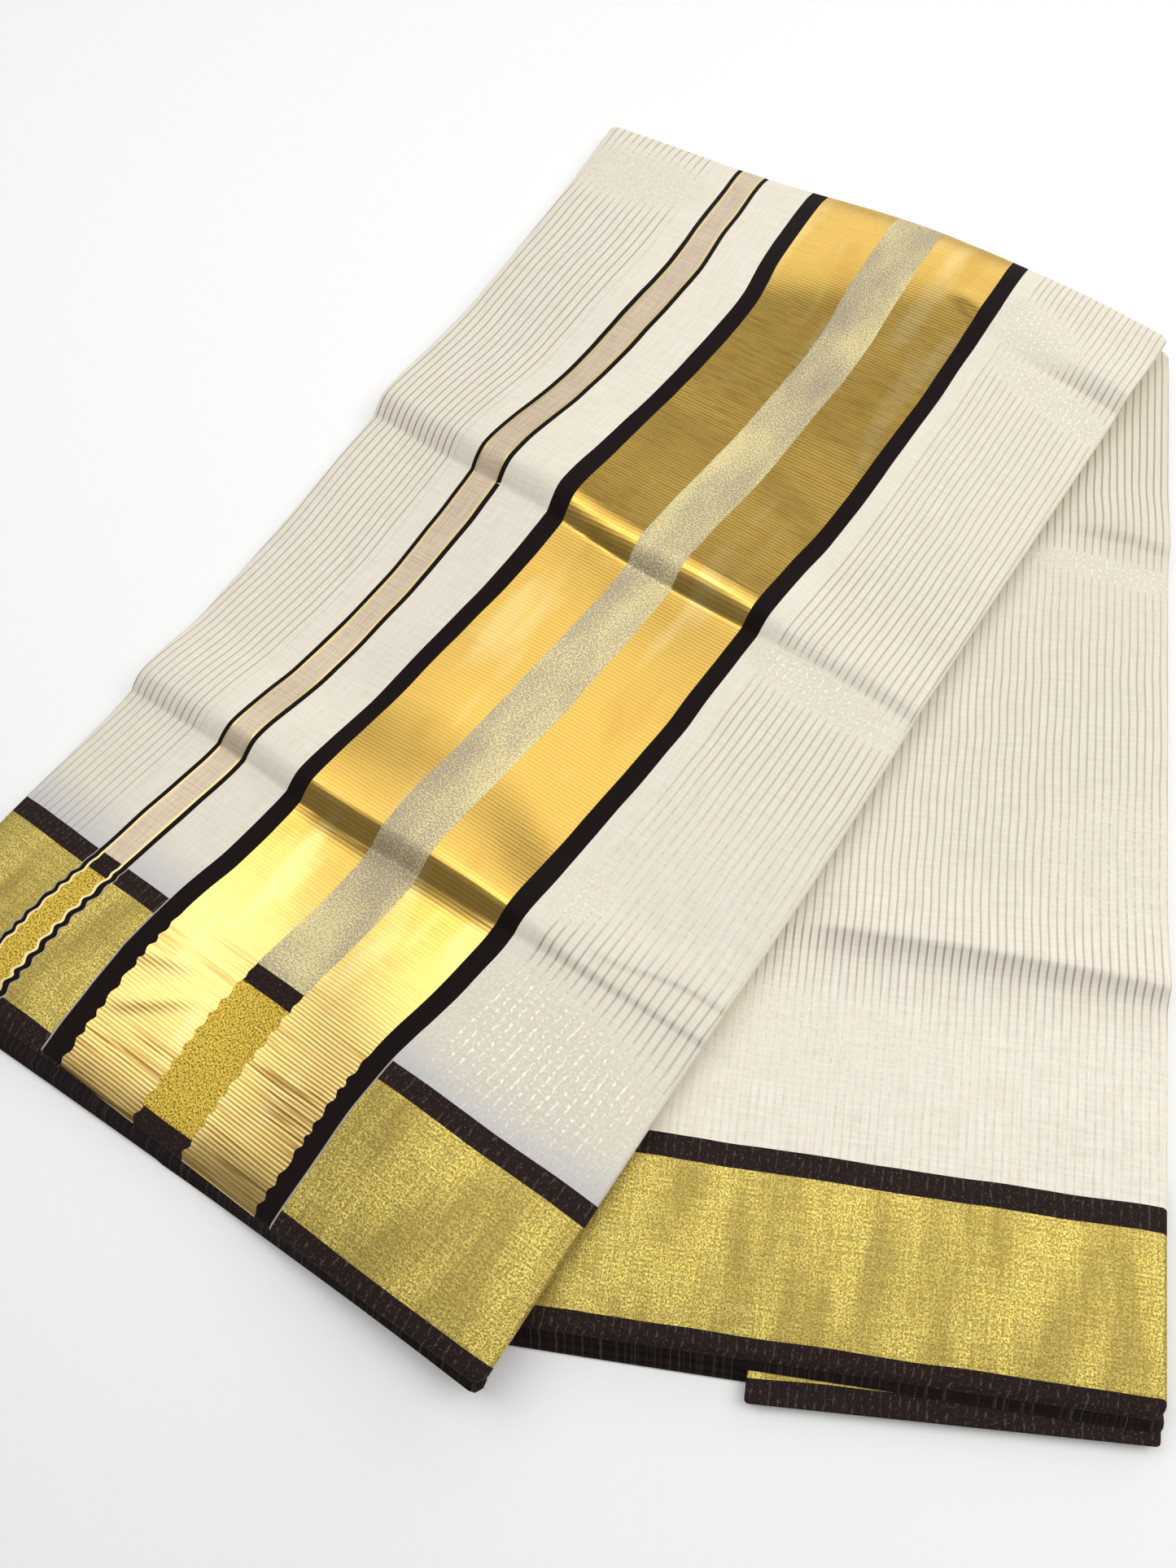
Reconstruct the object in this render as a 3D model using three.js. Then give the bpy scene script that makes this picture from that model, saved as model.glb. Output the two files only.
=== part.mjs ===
// A kasavu saree in fine cream cotton, folded in a stack of long panels and fanned out on a table.
// Sizes in mm. +Z is up, the table is z = 0, +Y runs from the selvedges to the top fold.
// Two stacks show. The pallu end lies on top and to the left, turned back over the body of the saree,
// which fans out to the lower right. The short tail end shows between the body's lower selvedges.
import * as THREE from "three";

// Cloth
const SHEET = 1.4; // wall of a single sheet that shows
const CLEAR = 0.4; // air between two pieces that lie on each other
const ROLL = 2.0; // outer radius of a sheet where it rolls over a fold
const SELVEDGE_LIP = 3.0; // how far a top sheet runs on past the stack at the selvedges
const SELVEDGE_DROOP = 1.8; // and how far that lip hangs
const SHOULDER_BACK = 1.6; // the hidden layers stand back this far under the rolled sheet
const PILLOW = 1.6; // how far the top rounds down at a folded side
const PILLOW_WIDTH = 16;
const PILLOW_LOW = 0.5; // share of that rounding at the selvedge
const REST_GAP = 1.0; // air between the body stack's flat top and the pallu stack

// How close together the nets' lines run
const NET_STEP = 34;
const PLAIN_STEP = 60;
const CREASE_STEP = 6;
const EDGE_STEP = 5;
const LEAST_STEP = 1;

// The folded edges of the layers wander by these waves, so that no two lie alike
const WANDER = [
  { reach: 0.3, turn: 0.55, shift: 2.1 },
  { reach: 0.2, turn: 0.21, shift: -1.0 },
];
// A leaf's widest stretch, as shares of its height: rounded at a fold, two thin edges at the selvedge
const LEAF_ROUND = { from: 0.26, to: 0.74 };
const LEAF_THIN = { from: 0.06, to: 0.9 };
const LEAF_GROOVE = 1.2; // how far the cloth goes back in between two leaves
const LEAF_FOOT = 0.8; // how far the lowest leaf stands back where it rests

// Plan: where the middle of the whole plan lies, from the pallu stack's lower right corner
const MIDDLE = { x: -65.5, y: 284.6 };

// Pallu stack: its own frame is the plan's frame, x = 0 at the right folded side
const PALLU_RISE = 10.5; // thickness of the stack
const PALLU_CORNER = 2.2; // plan radius of its corners
const PALLU_SIDES = [
  // how far along the panel, and where its left and right folded sides run there
  { along: -20, left: -343.0, right: -1.5 },
  { along: 65, left: -343.0, right: -1.5 },
  { along: 140, left: -336.0, right: -1.0 },
  { along: 260, left: -332.6, right: 0.6 },
  { along: 345, left: -333.0, right: -0.6 },
  { along: 470, left: -331.4, right: 0.4 },
  { along: 600, left: -340.5, right: 2.2 },
];
const PALLU_ENDS = [
  // how far across, and where the selvedge and the top fold run there
  { across: -345, selvedge: -16.6, fold: 584.5 },
  { across: -260, selvedge: -11.5, fold: 588.0 },
  { across: -130, selvedge: -3.9, fold: 591.5 },
  { across: -40, selvedge: 1.4, fold: 580.4 },
  { across: 5, selvedge: 2.6, fold: 573.8 },
];
const PALLU_CREASES = [
  // foot: where its foot runs; height of its crest above the lip; near and far: its two slopes;
  // lip: a low swelling that dies away below its foot; pinch and over: how sharp its crest is on either side
  {
    before: 316,
    after: 374,
    line: [
      { across: -345, foot: 346.0, height: 7.4, near: 13.0, far: 80, lip: 0.2, pinch: 0.0, over: 0.2 },
      { across: -260, foot: 339.5, height: 7.6, near: 13.0, far: 80, lip: 0.2, pinch: 0.0, over: 0.3 },
      { across: -215, foot: 335.5, height: 7.6, near: 13.5, far: 78, lip: 0.2, pinch: 0.0, over: 0.4 },
      { across: -178, foot: 330.6, height: 8.0, near: 14.0, far: 75, lip: 0.2, pinch: 0.0, over: 0.5 },
      { across: -86, foot: 327.2, height: 6.6, near: 11.5, far: 55, lip: 0.2, pinch: 0.0, over: 0.5 },
      { across: -62, foot: 327.4, height: 3.6, near: 8.5, far: 34, lip: 0.4, pinch: 0.0, over: 0.2 },
      { across: -25, foot: 326.0, height: 2.9, near: 7.0, far: 26, lip: 0.4, pinch: 0.1, over: 0.2 },
      { across: 5, foot: 325.0, height: 2.3, near: 6.5, far: 22, lip: 0.3, pinch: 0.1, over: 0.2 },
    ],
  },
  {
    before: 138,
    after: 186,
    line: [
      { across: -345, foot: 147.5, height: 5.8, near: 12.0, far: 44, lip: 0.5, pinch: 0.0, over: 0.1 },
      { across: -260, foot: 149.5, height: 6.0, near: 12.0, far: 42, lip: 0.6, pinch: 0.0, over: 0.2 },
      { across: -200, foot: 147.4, height: 6.2, near: 11.5, far: 58, lip: 1.2, pinch: 0.0, over: 0.0 },
      { across: -160, foot: 147.6, height: 6.2, near: 11.5, far: 58, lip: 1.3, pinch: 0.0, over: 0.0 },
      { across: -95, foot: 148.5, height: 5.0, near: 9.5, far: 36, lip: 1.1, pinch: 0.0, over: 0.3 },
      { across: -55, foot: 150.2, height: 2.4, near: 4.0, far: 30, lip: 0.3, pinch: 0.1, over: 0.1 },
      { across: 5, foot: 152.4, height: 1.7, near: 3.2, far: 24, lip: 0.2, pinch: 0.1, over: 0.1 },
    ],
  },
  {
    before: 516,
    after: 546,
    line: [
      { across: -72, foot: 533.0, height: 0.0, near: 11.0, far: 26, lip: 0.0, pinch: 0.0, over: 0.0 },
      { across: -48, foot: 528.6, height: 1.9, near: 10.5, far: 26, lip: 0.0, pinch: 0.0, over: 0.0 },
      { across: -20, foot: 524.0, height: 4.8, near: 9.5, far: 28, lip: 0.0, pinch: 0.1, over: 0.1 },
      { across: 5, foot: 520.5, height: 5.6, near: 9.0, far: 30, lip: 0.0, pinch: 0.2, over: 0.2 },
    ],
  },
];
const CREASE_ROUND = 1.7; // how its near slope falls: slowly from a rounded crest,
const CREASE_PINCHED = 1.8; // or fast from a pinched one
const CROWN = 2.5; // width of its crest
const LIP_GAP = 1.0; // the lip reaches this far below its foot before it dies away
const LIP_RUN = 9.0;
const PALLU_LEAVES = [
  // from the top down: share of the height, and how far its edge stands out on each side
  { share: 0.34, side: -2.9, fold: 1.2, selvedge: 4.6 },
  { share: 0.31, side: -3.4, fold: 1.8, selvedge: 6.6 },
  { share: 0.35, side: -2.7, fold: 0.8, selvedge: 8.5 },
];

// Body stack: its frame starts at its lower right corner, with its length leaning to the left
const BODY_ORIGIN = { x: 212.3, y: 132.4 };
const BODY_TURN = THREE.MathUtils.degToRad(24.84);
const BODY_RISE = 13.3;
const BODY_WIDTH = 266; // the side that the pallu stack hides
const BODY_LENGTH = 491;
const BODY_CORNER = 3;
const BODY_INSET = 1.6; // its sides stand back this far, for the roll of the top sheet
const BODY_SELVEDGE = 3.0; // where its selvedge side starts
const BODY_CREASES = [
  {
    before: 142,
    after: 184,
    line: [
      { across: -266, foot: 158.0, height: 5.6, near: 12.0, far: 44, lip: 0.2, pinch: 0.9, over: 0.9 },
      { across: -158, foot: 155.4, height: 5.8, near: 12.0, far: 44, lip: 0.2, pinch: 0.9, over: 0.9 },
      { across: -60, foot: 152.8, height: 6.2, near: 11.5, far: 40, lip: 0.2, pinch: 0.9, over: 0.9 },
      { across: 4, foot: 150.4, height: 5.4, near: 9.5, far: 36, lip: 0.2, pinch: 0.9, over: 0.9 },
    ],
  },
  {
    before: 354,
    after: 390,
    line: [
      { across: -96, foot: 384.0, height: 0.4, near: 6.0, far: 30, lip: 0.1, pinch: 0.2, over: 0.2 },
      { across: -56, foot: 378.4, height: 1.7, near: 6.0, far: 34, lip: 0.4, pinch: 0.2, over: 0.2 },
      { across: -26, foot: 374.0, height: 2.6, near: 6.0, far: 34, lip: 0.6, pinch: 0.2, over: 0.2 },
      { across: 4, foot: 367.0, height: 2.4, near: 6.0, far: 30, lip: 0.6, pinch: 0.2, over: 0.2 },
    ],
  },
];
const BODY_ROWS = [
  // how the rows of the net lean: along the selvedge, the two folds and the top fold
  { along: 0, lean: 0.039 },
  { along: 158, lean: -0.046 },
  { along: 364, lean: -0.17 },
  { along: 491, lean: 0.03 },
];
const BODY_LEAVES = [
  { share: 0.5, side: 1.6, fold: 1.4, selvedge: 4.3 },
  { share: 0.5, side: 1.0, fold: 0.8, selvedge: 5.6 },
];
const RELIEF_START = 4; // from the pallu stack's side, the body's creases grow over this stretch
const RELIEF_FULL = 24;

// Tail end and the lowest layers, in the body's frame
const TAIL_FLOOR = 4.3; // its underside
const TAIL_THICK = 1.6;
const TAIL_WIDTH = 149;
const TAIL_SELVEDGE = -8; // its edge at the right side
const TAIL_LEAN = 0.083;
const HIDDEN_LEAN = 0.8; // share of that lean past the tail's folded end
const TAIL_INSET = 1.0; // its folded sides stand back this far
const TAIL_END = 489; // where its hidden end lies
const TAIL_CORNER = 2;
const TAIL_ROUND = { out: 0.5, down: 0.45 }; // its edge is rounded by this much above and below
const TAIL_CLEAR = 4;
const TAIL_STEP = 18; // the layers above come down over this stretch past its folded end
const BASE_RISE = 3.9;
const BASE_LEAVES = [
  { share: 0.5, side: 1.5, fold: 1.0, selvedge: 8.8 },
  { share: 0.5, side: 0.8, fold: 1.6, selvedge: 10.6 },
];

// Where the pallu stack bridges from the body stack down to the table
const BRIDGE_FLAT = 10;
const BRIDGE_FALL = 120;

const clamp01 = (t) => Math.min(1, Math.max(0, t));
const smooth = (t) => clamp01(t) ** 2 * (3 - 2 * clamp01(t));
const mix = (a, b, t) => a + (b - a) * t;

// Reads a column of a table between its rows.
function between(rows, key, at, column) {
  let i = 1;
  while (i < rows.length - 1 && rows[i][key] < at) i += 1;
  const [a, b] = [rows[i - 1], rows[i]];
  return mix(a[column], b[column], smooth((at - a[key]) / (b[key] - a[key])));
}

// A frame on the table: its own x and y to plan x and y, and back.
function frameAt(origin, turn) {
  const [c, s] = [Math.cos(turn), Math.sin(turn)];
  return {
    out: (x, y) => ({ x: origin.x + c * x - s * y, y: origin.y + s * x + c * y }),
    back: (p) => ({
      x: c * (p.x - origin.x) + s * (p.y - origin.y),
      y: -s * (p.x - origin.x) + c * (p.y - origin.y),
    }),
  };
}
const bodyFrame = frameAt(BODY_ORIGIN, BODY_TURN);

// The height that a panel's lengthwise folds give its top: steep on the near side, long behind.
function creaseHeight(creases, x, y) {
  let z = 0;
  for (const crease of creases) {
    const here = (column) => between(crease.line, "across", x, column);
    const [near, lip] = [here("near"), here("lip")];
    const t = y - here("foot");
    const down = clamp01((near - t) / near);
    const behind = clamp01((t - near - CROWN) / here("far"));
    const front = mix(1 - down ** CREASE_ROUND, (1 - down) ** CREASE_PINCHED, here("pinch"));
    const back = mix(1 - smooth(behind), (1 - behind) ** 2, here("over"));
    const below = clamp01(1 + (t + LIP_GAP) / LIP_RUN) ** 2;
    z += t < near ? here("height") * front + lip * below : (here("height") + lip) * back;
  }
  return z;
}

// The body's creases are pressed flat under the pallu stack.
function bodyRelief(x, y) {
  const seen = smooth((bodyFrame.out(x, y).x - RELIEF_START) / (RELIEF_FULL - RELIEF_START));
  return seen * creaseHeight(BODY_CREASES, x, y);
}

// How far a plan point lies outside the body stack, 0 over it.
function outsideBody(p) {
  const q = bodyFrame.back(p);
  const low = TAIL_SELVEDGE + TAIL_LEAN * q.x * (q.x > -TAIL_WIDTH ? 1 : HIDDEN_LEAN);
  const dx = Math.max(q.x, -BODY_WIDTH - q.x, 0);
  const dy = Math.max(q.y - BODY_LENGTH, low - q.y, 0);
  return Math.hypot(dx, dy);
}

// What the pallu stack rests on: the body stack, and past it the table.
function supportUnderPallu(x, y) {
  const fall = smooth((outsideBody({ x, y }) - BRIDGE_FLAT) / BRIDGE_FALL);
  return (BODY_RISE + REST_GAP) * (1 - fall);
}

// Underside of the body's hidden layers: on the tail where it runs, on the lowest layers elsewhere.
function bodyFloor(x) {
  const past = smooth((-TAIL_WIDTH - TAIL_CLEAR - x) / TAIL_STEP);
  return mix(TAIL_FLOOR + TAIL_THICK + CLEAR, BASE_RISE + CLEAR, past);
}

// Stations from a to b: close to both ends and over each crease, and not over the step elsewhere.
function stations(a, b, step, creases = [], also = []) {
  const keep = [a, a + EDGE_STEP, a + PILLOW_WIDTH, b - PILLOW_WIDTH, b - EDGE_STEP, b, ...also];
  for (const crease of creases) {
    const parts = Math.round((crease.after - crease.before) / CREASE_STEP);
    for (let k = 0; k <= parts; k += 1) keep.push(mix(crease.before, crease.after, k / parts));
  }
  keep.sort((p, q) => p - q);
  const all = [keep[0]];
  for (let i = 1; i < keep.length; i += 1) {
    const gap = keep[i] - keep[i - 1];
    if (gap < LEAST_STEP) continue;
    const parts = Math.ceil(gap / step);
    for (let k = 1; k <= parts; k += 1) all.push(keep[i - 1] + (gap * k) / parts);
  }
  return all;
}

// Rounds a rectangle's corner in plan: a square of side r becomes a quarter disc.
function roundCorner(x, y, left, right, low, high, r) {
  const cx = x < left + r ? left + r : x > right - r ? right - r : x;
  const cy = y < low + r ? low + r : y > high - r ? high - r : y;
  const [dx, dy] = [x - cx, y - cy];
  if (dx === 0 || dy === 0) return { x, y };
  const k = Math.max(Math.abs(dx), Math.abs(dy)) / Math.hypot(dx, dy);
  return { x: cx + dx * k, y: cy + dy * k };
}

// A panel laid out as a net of points in plan, with its rim in order and the rim's outward directions.
function net(columns, rows, place) {
  const points = rows.map((y) => columns.map((x) => place(x, y)));
  const [nx, ny] = [columns.length, rows.length];
  const rim = [];
  for (let i = 0; i < nx - 1; i += 1) rim.push([i, 0]);
  for (let j = 0; j < ny - 1; j += 1) rim.push([nx - 1, j]);
  for (let i = nx - 1; i > 0; i -= 1) rim.push([i, ny - 1]);
  for (let j = ny - 1; j > 0; j -= 1) rim.push([0, j]);
  const outward = rim.map((_, k) => {
    const [ia, ja] = rim[(k + rim.length - 1) % rim.length];
    const [ib, jb] = rim[(k + 1) % rim.length];
    const d = { x: points[jb][ib].x - points[ja][ia].x, y: points[jb][ib].y - points[ja][ia].y };
    const size = Math.hypot(d.x, d.y);
    return { x: d.y / size, y: -d.x / size };
  });
  return { points, rim, outward, nx, ny };
}

// How much a rim point belongs to the selvedge side and to the top fold, from its outward direction.
function sideShare(outward, turn) {
  const up = -Math.sin(turn) * outward.x + Math.cos(turn) * outward.y;
  return { selvedge: Math.max(0, -up) ** 2, fold: Math.max(0, up) ** 2, side: 1 - up * up };
}

// A closed body: a top net, rings round the rim from the top down, and a bottom net.
// Each ring gives the distance out and the height for a rim point.
function closedBody(name, colour, grid, topZ, rings, bottomZ, bottomOut) {
  const { points, rim, outward, nx, ny } = grid;
  const position = [];
  const add = (x, y, z) => position.push(x - MIDDLE.x, y - MIDDLE.y, z) / 3 - 1;
  const rimPoint = (k, out, z) => {
    const [i, j] = rim[k];
    return add(points[j][i].x + outward[k].x * out, points[j][i].y + outward[k].y * out, z);
  };
  const cap = (heightAt, rimOut) => {
    const ids = points.map((row, j) => row.map((p, i) => (
      i % (nx - 1) && j % (ny - 1) ? add(p.x, p.y, heightAt(p)) : -1
    )));
    rim.forEach(([i, j], k) => {
      ids[j][i] = rimPoint(k, rimOut(k), heightAt(points[j][i]));
    });
    return ids;
  };
  const top = cap(topZ, rings.capOut);
  const bottom = cap(bottomZ, bottomOut);
  const loops = [rim.map(([i, j]) => top[j][i])];
  for (const ring of rings.list) {
    loops.push(rim.map(([i, j], k) => {
      const r = ring(k, points[j][i]);
      return rimPoint(k, r.out, r.z);
    }));
  }
  loops.push(rim.map(([i, j]) => bottom[j][i]));
  const faces = [];
  const quad = (a, b, c, d) => faces.push(a, b, c, a, c, d);
  for (let j = 0; j < ny - 1; j += 1) {
    for (let i = 0; i < nx - 1; i += 1) {
      quad(top[j][i], top[j][i + 1], top[j + 1][i + 1], top[j + 1][i]);
      quad(bottom[j][i], bottom[j + 1][i], bottom[j + 1][i + 1], bottom[j][i + 1]);
    }
  }
  for (let r = 0; r < loops.length - 1; r += 1) {
    for (let k = 0; k < rim.length; k += 1) {
      const n = (k + 1) % rim.length;
      quad(loops[r][n], loops[r][k], loops[r + 1][k], loops[r + 1][n]);
    }
  }
  const geometry = new THREE.BufferGeometry();
  geometry.setAttribute("position", new THREE.Float32BufferAttribute(position, 3));
  geometry.setIndex(faces);
  geometry.computeVertexNormals();
  const mesh = new THREE.Mesh(
    geometry,
    new THREE.MeshStandardMaterial({ color: colour, roughness: 0.85, metalness: 0 }),
  );
  mesh.name = name;
  return mesh;
}

// The top sheet of a stack: over the top, rolled under at the folds, with a drooping lip at the selvedge.
function topSheet(name, colour, grid, turn, height) {
  const share = grid.outward.map((o) => sideShare(o, turn));
  const turned = (angle, radius, lift) => (k, p) => {
    const w = share[k].selvedge;
    const part = angle / Math.PI;
    const rolled = { out: radius * Math.sin(angle), z: -ROLL + radius * Math.cos(angle) };
    const lip = { out: SELVEDGE_LIP * part, z: -SELVEDGE_DROOP * part * part - lift };
    return { out: mix(rolled.out, lip.out, w), z: height(p) + mix(rolled.z, lip.z, w) };
  };
  const eighth = Math.PI / 4;
  const list = [
    turned(eighth, ROLL, 0),
    turned(2 * eighth, ROLL, 0),
    turned(3 * eighth, ROLL, 0),
    turned(4 * eighth, ROLL, 0),
    turned(4 * eighth, ROLL - SHEET, SHEET),
    turned(2 * eighth, ROLL - SHEET, SHEET),
  ];
  const none = () => 0;
  return closedBody(name, colour, grid, height, { capOut: none, list }, (p) => height(p) - SHEET, none);
}

// The hidden layers of a stack as one solid, with a leaf-like step for each fold that shows at its sides.
function layeredSolid(name, colour, grid, turn, leaves, top, shoulder, floor) {
  const share = grid.outward.map((o) => sideShare(o, turn));
  const wander = (k, n) => WANDER.reduce((sum, w) => sum + w.reach * Math.sin(k * w.turn + n * w.shift), 0);
  const edge = (leaf, k, n) => wander(k, n)
    + share[k].side * leaf.side + share[k].fold * leaf.fold + share[k].selvedge * leaf.selvedge;
  const back = () => -SHOULDER_BACK;
  const shoulderZ = (k, p) => top(p) - mix(shoulder.fold, shoulder.selvedge, share[k].selvedge);
  const list = [(k, p) => ({ out: -SHOULDER_BACK, z: shoulderZ(k, p) })];
  let done = 0;
  leaves.forEach((leaf, n) => {
    const [from, size] = [done, leaf.share];
    for (const side of ["from", "to"]) {
      list.push((k, p) => {
        const part = mix(LEAF_ROUND[side], LEAF_THIN[side], share[k].selvedge);
        return { out: edge(leaf, k, n), z: mix(shoulderZ(k, p), floor(p), from + size * part) };
      });
    }
    done += size;
    if (n < leaves.length - 1) {
      list.push((k, p) => ({
        out: edge(leaf, k, n) - LEAF_GROOVE,
        z: mix(shoulderZ(k, p), floor(p), from + size),
      }));
    }
  });
  const last = leaves[leaves.length - 1];
  return closedBody(name, colour, grid, top, { capOut: back, list }, floor,
    (k) => edge(last, k, leaves.length - 1) - LEAF_FOOT);
}

// How far a top rounds down towards the sides of its panel.
function pillow(left, right, low, high, x, y) {
  const near = (d) => (1 - clamp01(d / PILLOW_WIDTH)) ** 2;
  const sides = Math.max(near(x - left), near(right - x));
  return PILLOW * Math.max(sides, near(high - y), PILLOW_LOW * near(y - low));
}

// Pallu stack
const palluLeft = (y) => between(PALLU_SIDES, "along", y, "left");
const palluRight = (y) => between(PALLU_SIDES, "along", y, "right");
const palluLow = (x) => between(PALLU_ENDS, "across", x, "selvedge");
const palluHigh = (x) => between(PALLU_ENDS, "across", x, "fold");
const PALLU_SPAN = { left: -335, right: 0, low: 0, high: 585 };

function palluPlace(x, y) {
  const s = PALLU_SPAN;
  const r = roundCorner(x, y, s.left, s.right, s.low, s.high, PALLU_CORNER);
  const u = (r.x - s.left) / (s.right - s.left);
  const v = (r.y - s.low) / (s.high - s.low);
  const px = mix(palluLeft(r.y), palluRight(r.y), u);
  const py = r.y + (1 - v) * (palluLow(px) - s.low) + v * (palluHigh(px) - s.high);
  return { x: px, y: py, own: { x: px, y: py }, sheet: { x, y } };
}

function palluTop(p) {
  const s = PALLU_SPAN;
  const round = pillow(s.left, s.right, s.low, s.high, p.sheet.x, p.sheet.y);
  const relief = creaseHeight(PALLU_CREASES, p.own.x, p.own.y);
  return supportUnderPallu(p.x, p.y) + PALLU_RISE + relief - round;
}

const palluNet = net(
  stations(PALLU_SPAN.left, PALLU_SPAN.right, NET_STEP),
  stations(PALLU_SPAN.low, PALLU_SPAN.high, NET_STEP, PALLU_CREASES),
  palluPlace,
);

// Body stack
function bodyPlace(width, low) {
  return (x, y) => {
    const r = roundCorner(x, y, -width, 0, 0, BODY_LENGTH, BODY_CORNER);
    const lean = between(BODY_ROWS, "along", r.y, "lean");
    const start = (1 - r.y / BODY_LENGTH) * low;
    const own = { x: r.x - BODY_INSET, y: r.y + start + lean * r.x };
    return { ...bodyFrame.out(own.x, own.y), own, sheet: { x, y } };
  };
}

const bodyTop = (p) => BODY_RISE + bodyRelief(p.own.x, p.own.y)
  - pillow(-BODY_WIDTH, 0, 0, BODY_LENGTH, p.sheet.x, p.sheet.y);
const stepAt = [0, 0.5, 1].map((part) => -TAIL_WIDTH - TAIL_CLEAR - part * TAIL_STEP);
const bodyNet = net(
  stations(-BODY_WIDTH, 0, NET_STEP, [], stepAt),
  stations(0, BODY_LENGTH, NET_STEP, BODY_CREASES),
  bodyPlace(BODY_WIDTH, BODY_SELVEDGE),
);
const baseNet = net(
  stations(-BODY_WIDTH, 0, PLAIN_STEP),
  stations(0, BODY_LENGTH, PLAIN_STEP),
  bodyPlace(BODY_WIDTH, BODY_SELVEDGE),
);

// Tail end: one folded sheet between the layers, longer than the rest at the selvedge
function tailPlace(x, y) {
  const r = roundCorner(x, y, -TAIL_WIDTH, 0, 0, BODY_LENGTH, TAIL_CORNER);
  const low = TAIL_SELVEDGE + TAIL_LEAN * r.x;
  const own = { x: r.x - TAIL_INSET, y: mix(low, TAIL_END, r.y / BODY_LENGTH) };
  return { ...bodyFrame.out(own.x, own.y), own, sheet: { x, y } };
}
const tailNet = net(stations(-TAIL_WIDTH, 0, PLAIN_STEP), stations(0, BODY_LENGTH, PLAIN_STEP), tailPlace);

// Where each run of hidden layers starts below the sheet that covers it
const under = SHEET + CLEAR;
const shoulder = { fold: 2 * ROLL + CLEAR - under, selvedge: SELVEDGE_DROOP + CLEAR };
const plainShoulder = { fold: 0.5, selvedge: 0.3 };

const CREAM = "#e9e2d2";
const CREAM_SHADE = "#d9d0bb";
const TAIL_TONE = "#c9b98a";

const tailTop = () => TAIL_FLOOR + TAIL_THICK;
const tailRings = {
  capOut: () => -TAIL_ROUND.out,
  list: [
    () => ({ out: 0, z: tailTop() - TAIL_ROUND.down }),
    () => ({ out: 0, z: TAIL_FLOOR + TAIL_ROUND.down }),
  ],
};

const saree = new THREE.Group();
saree.name = "kasavu_saree";
saree.add(
  topSheet("pallu_panel", CREAM, palluNet, 0, palluTop),
  layeredSolid("pallu_layers", CREAM_SHADE, palluNet, 0, PALLU_LEAVES,
    (p) => palluTop(p) - under, shoulder, (p) => supportUnderPallu(p.x, p.y)),
  topSheet("body_panel", CREAM, bodyNet, BODY_TURN, bodyTop),
  layeredSolid("body_layers", CREAM_SHADE, bodyNet, BODY_TURN, BODY_LEAVES,
    (p) => bodyTop(p) - under, shoulder, (p) => bodyFloor(p.own.x)),
  closedBody("tail_panel", TAIL_TONE, tailNet, tailTop, tailRings, () => TAIL_FLOOR, tailRings.capOut),
  layeredSolid("base_layers", CREAM_SHADE, baseNet, BODY_TURN, BASE_LEAVES,
    () => BASE_RISE, plainShoulder, () => 0),
);

export default saree;
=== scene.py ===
# A kasavu saree in cream handloom cotton with woven gold, folded in long panels and fanned out in two stacks.
# Sizes are in mm and are made metres when a mesh is built. +Z is up and the table is z = 0.
# "Plan" is measured from the pallu stack's lower right corner: x along the selvedge, y up its length.
import math
import bpy
import numpy as np
from mathutils import Matrix


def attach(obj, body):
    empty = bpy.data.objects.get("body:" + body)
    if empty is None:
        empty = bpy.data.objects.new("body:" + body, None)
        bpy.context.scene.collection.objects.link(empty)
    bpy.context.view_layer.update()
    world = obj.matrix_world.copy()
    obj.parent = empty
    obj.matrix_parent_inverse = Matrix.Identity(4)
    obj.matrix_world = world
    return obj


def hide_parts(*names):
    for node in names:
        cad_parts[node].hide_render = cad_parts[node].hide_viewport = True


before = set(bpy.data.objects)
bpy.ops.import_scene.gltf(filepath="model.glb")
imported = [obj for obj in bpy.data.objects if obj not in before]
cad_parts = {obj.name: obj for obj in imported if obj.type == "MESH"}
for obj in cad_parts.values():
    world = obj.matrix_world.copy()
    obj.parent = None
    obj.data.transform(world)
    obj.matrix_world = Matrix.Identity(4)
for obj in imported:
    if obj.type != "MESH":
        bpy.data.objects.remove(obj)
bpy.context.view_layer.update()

MM = 0.001


def table(columns, *rows):
    """Rows of values under named columns."""
    return [dict(zip(columns.split(), row)) for row in rows]


# Cloth
CLOTH = 0.45  # thickness of a sheet
CLEAR = 0.4  # air between two pieces that lie on each other
UNDER = CLOTH + CLEAR  # how far a stack lies under the face of its top sheet
ROLL = 1.9  # outer radius of the top sheet where it rolls over a fold
ROLL_STEPS = 8
TUCK, TUCK_SINK = 9.0, 0.1  # how far the rolled edge runs on underneath, and sinks there
LIP, LIP_DROOP = 3.0, 1.5  # how far a top sheet runs on past the stack at its selvedge, and droops
LIP_END, LIP_END_DROOP = 0.02, 0.05  # and the last thread of that lip
SHOULDER_BACK, SHOULDER_GAP = 1.6, 0.5  # the layers under a rolled sheet stand back and clear of its roll
PILLOW, PILLOW_WIDTH = 1.6, 16.0  # how far the top rounds down at a folded side, and over what width
PILLOW_LOW = 0.5  # share of that rounding at the selvedge

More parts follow.
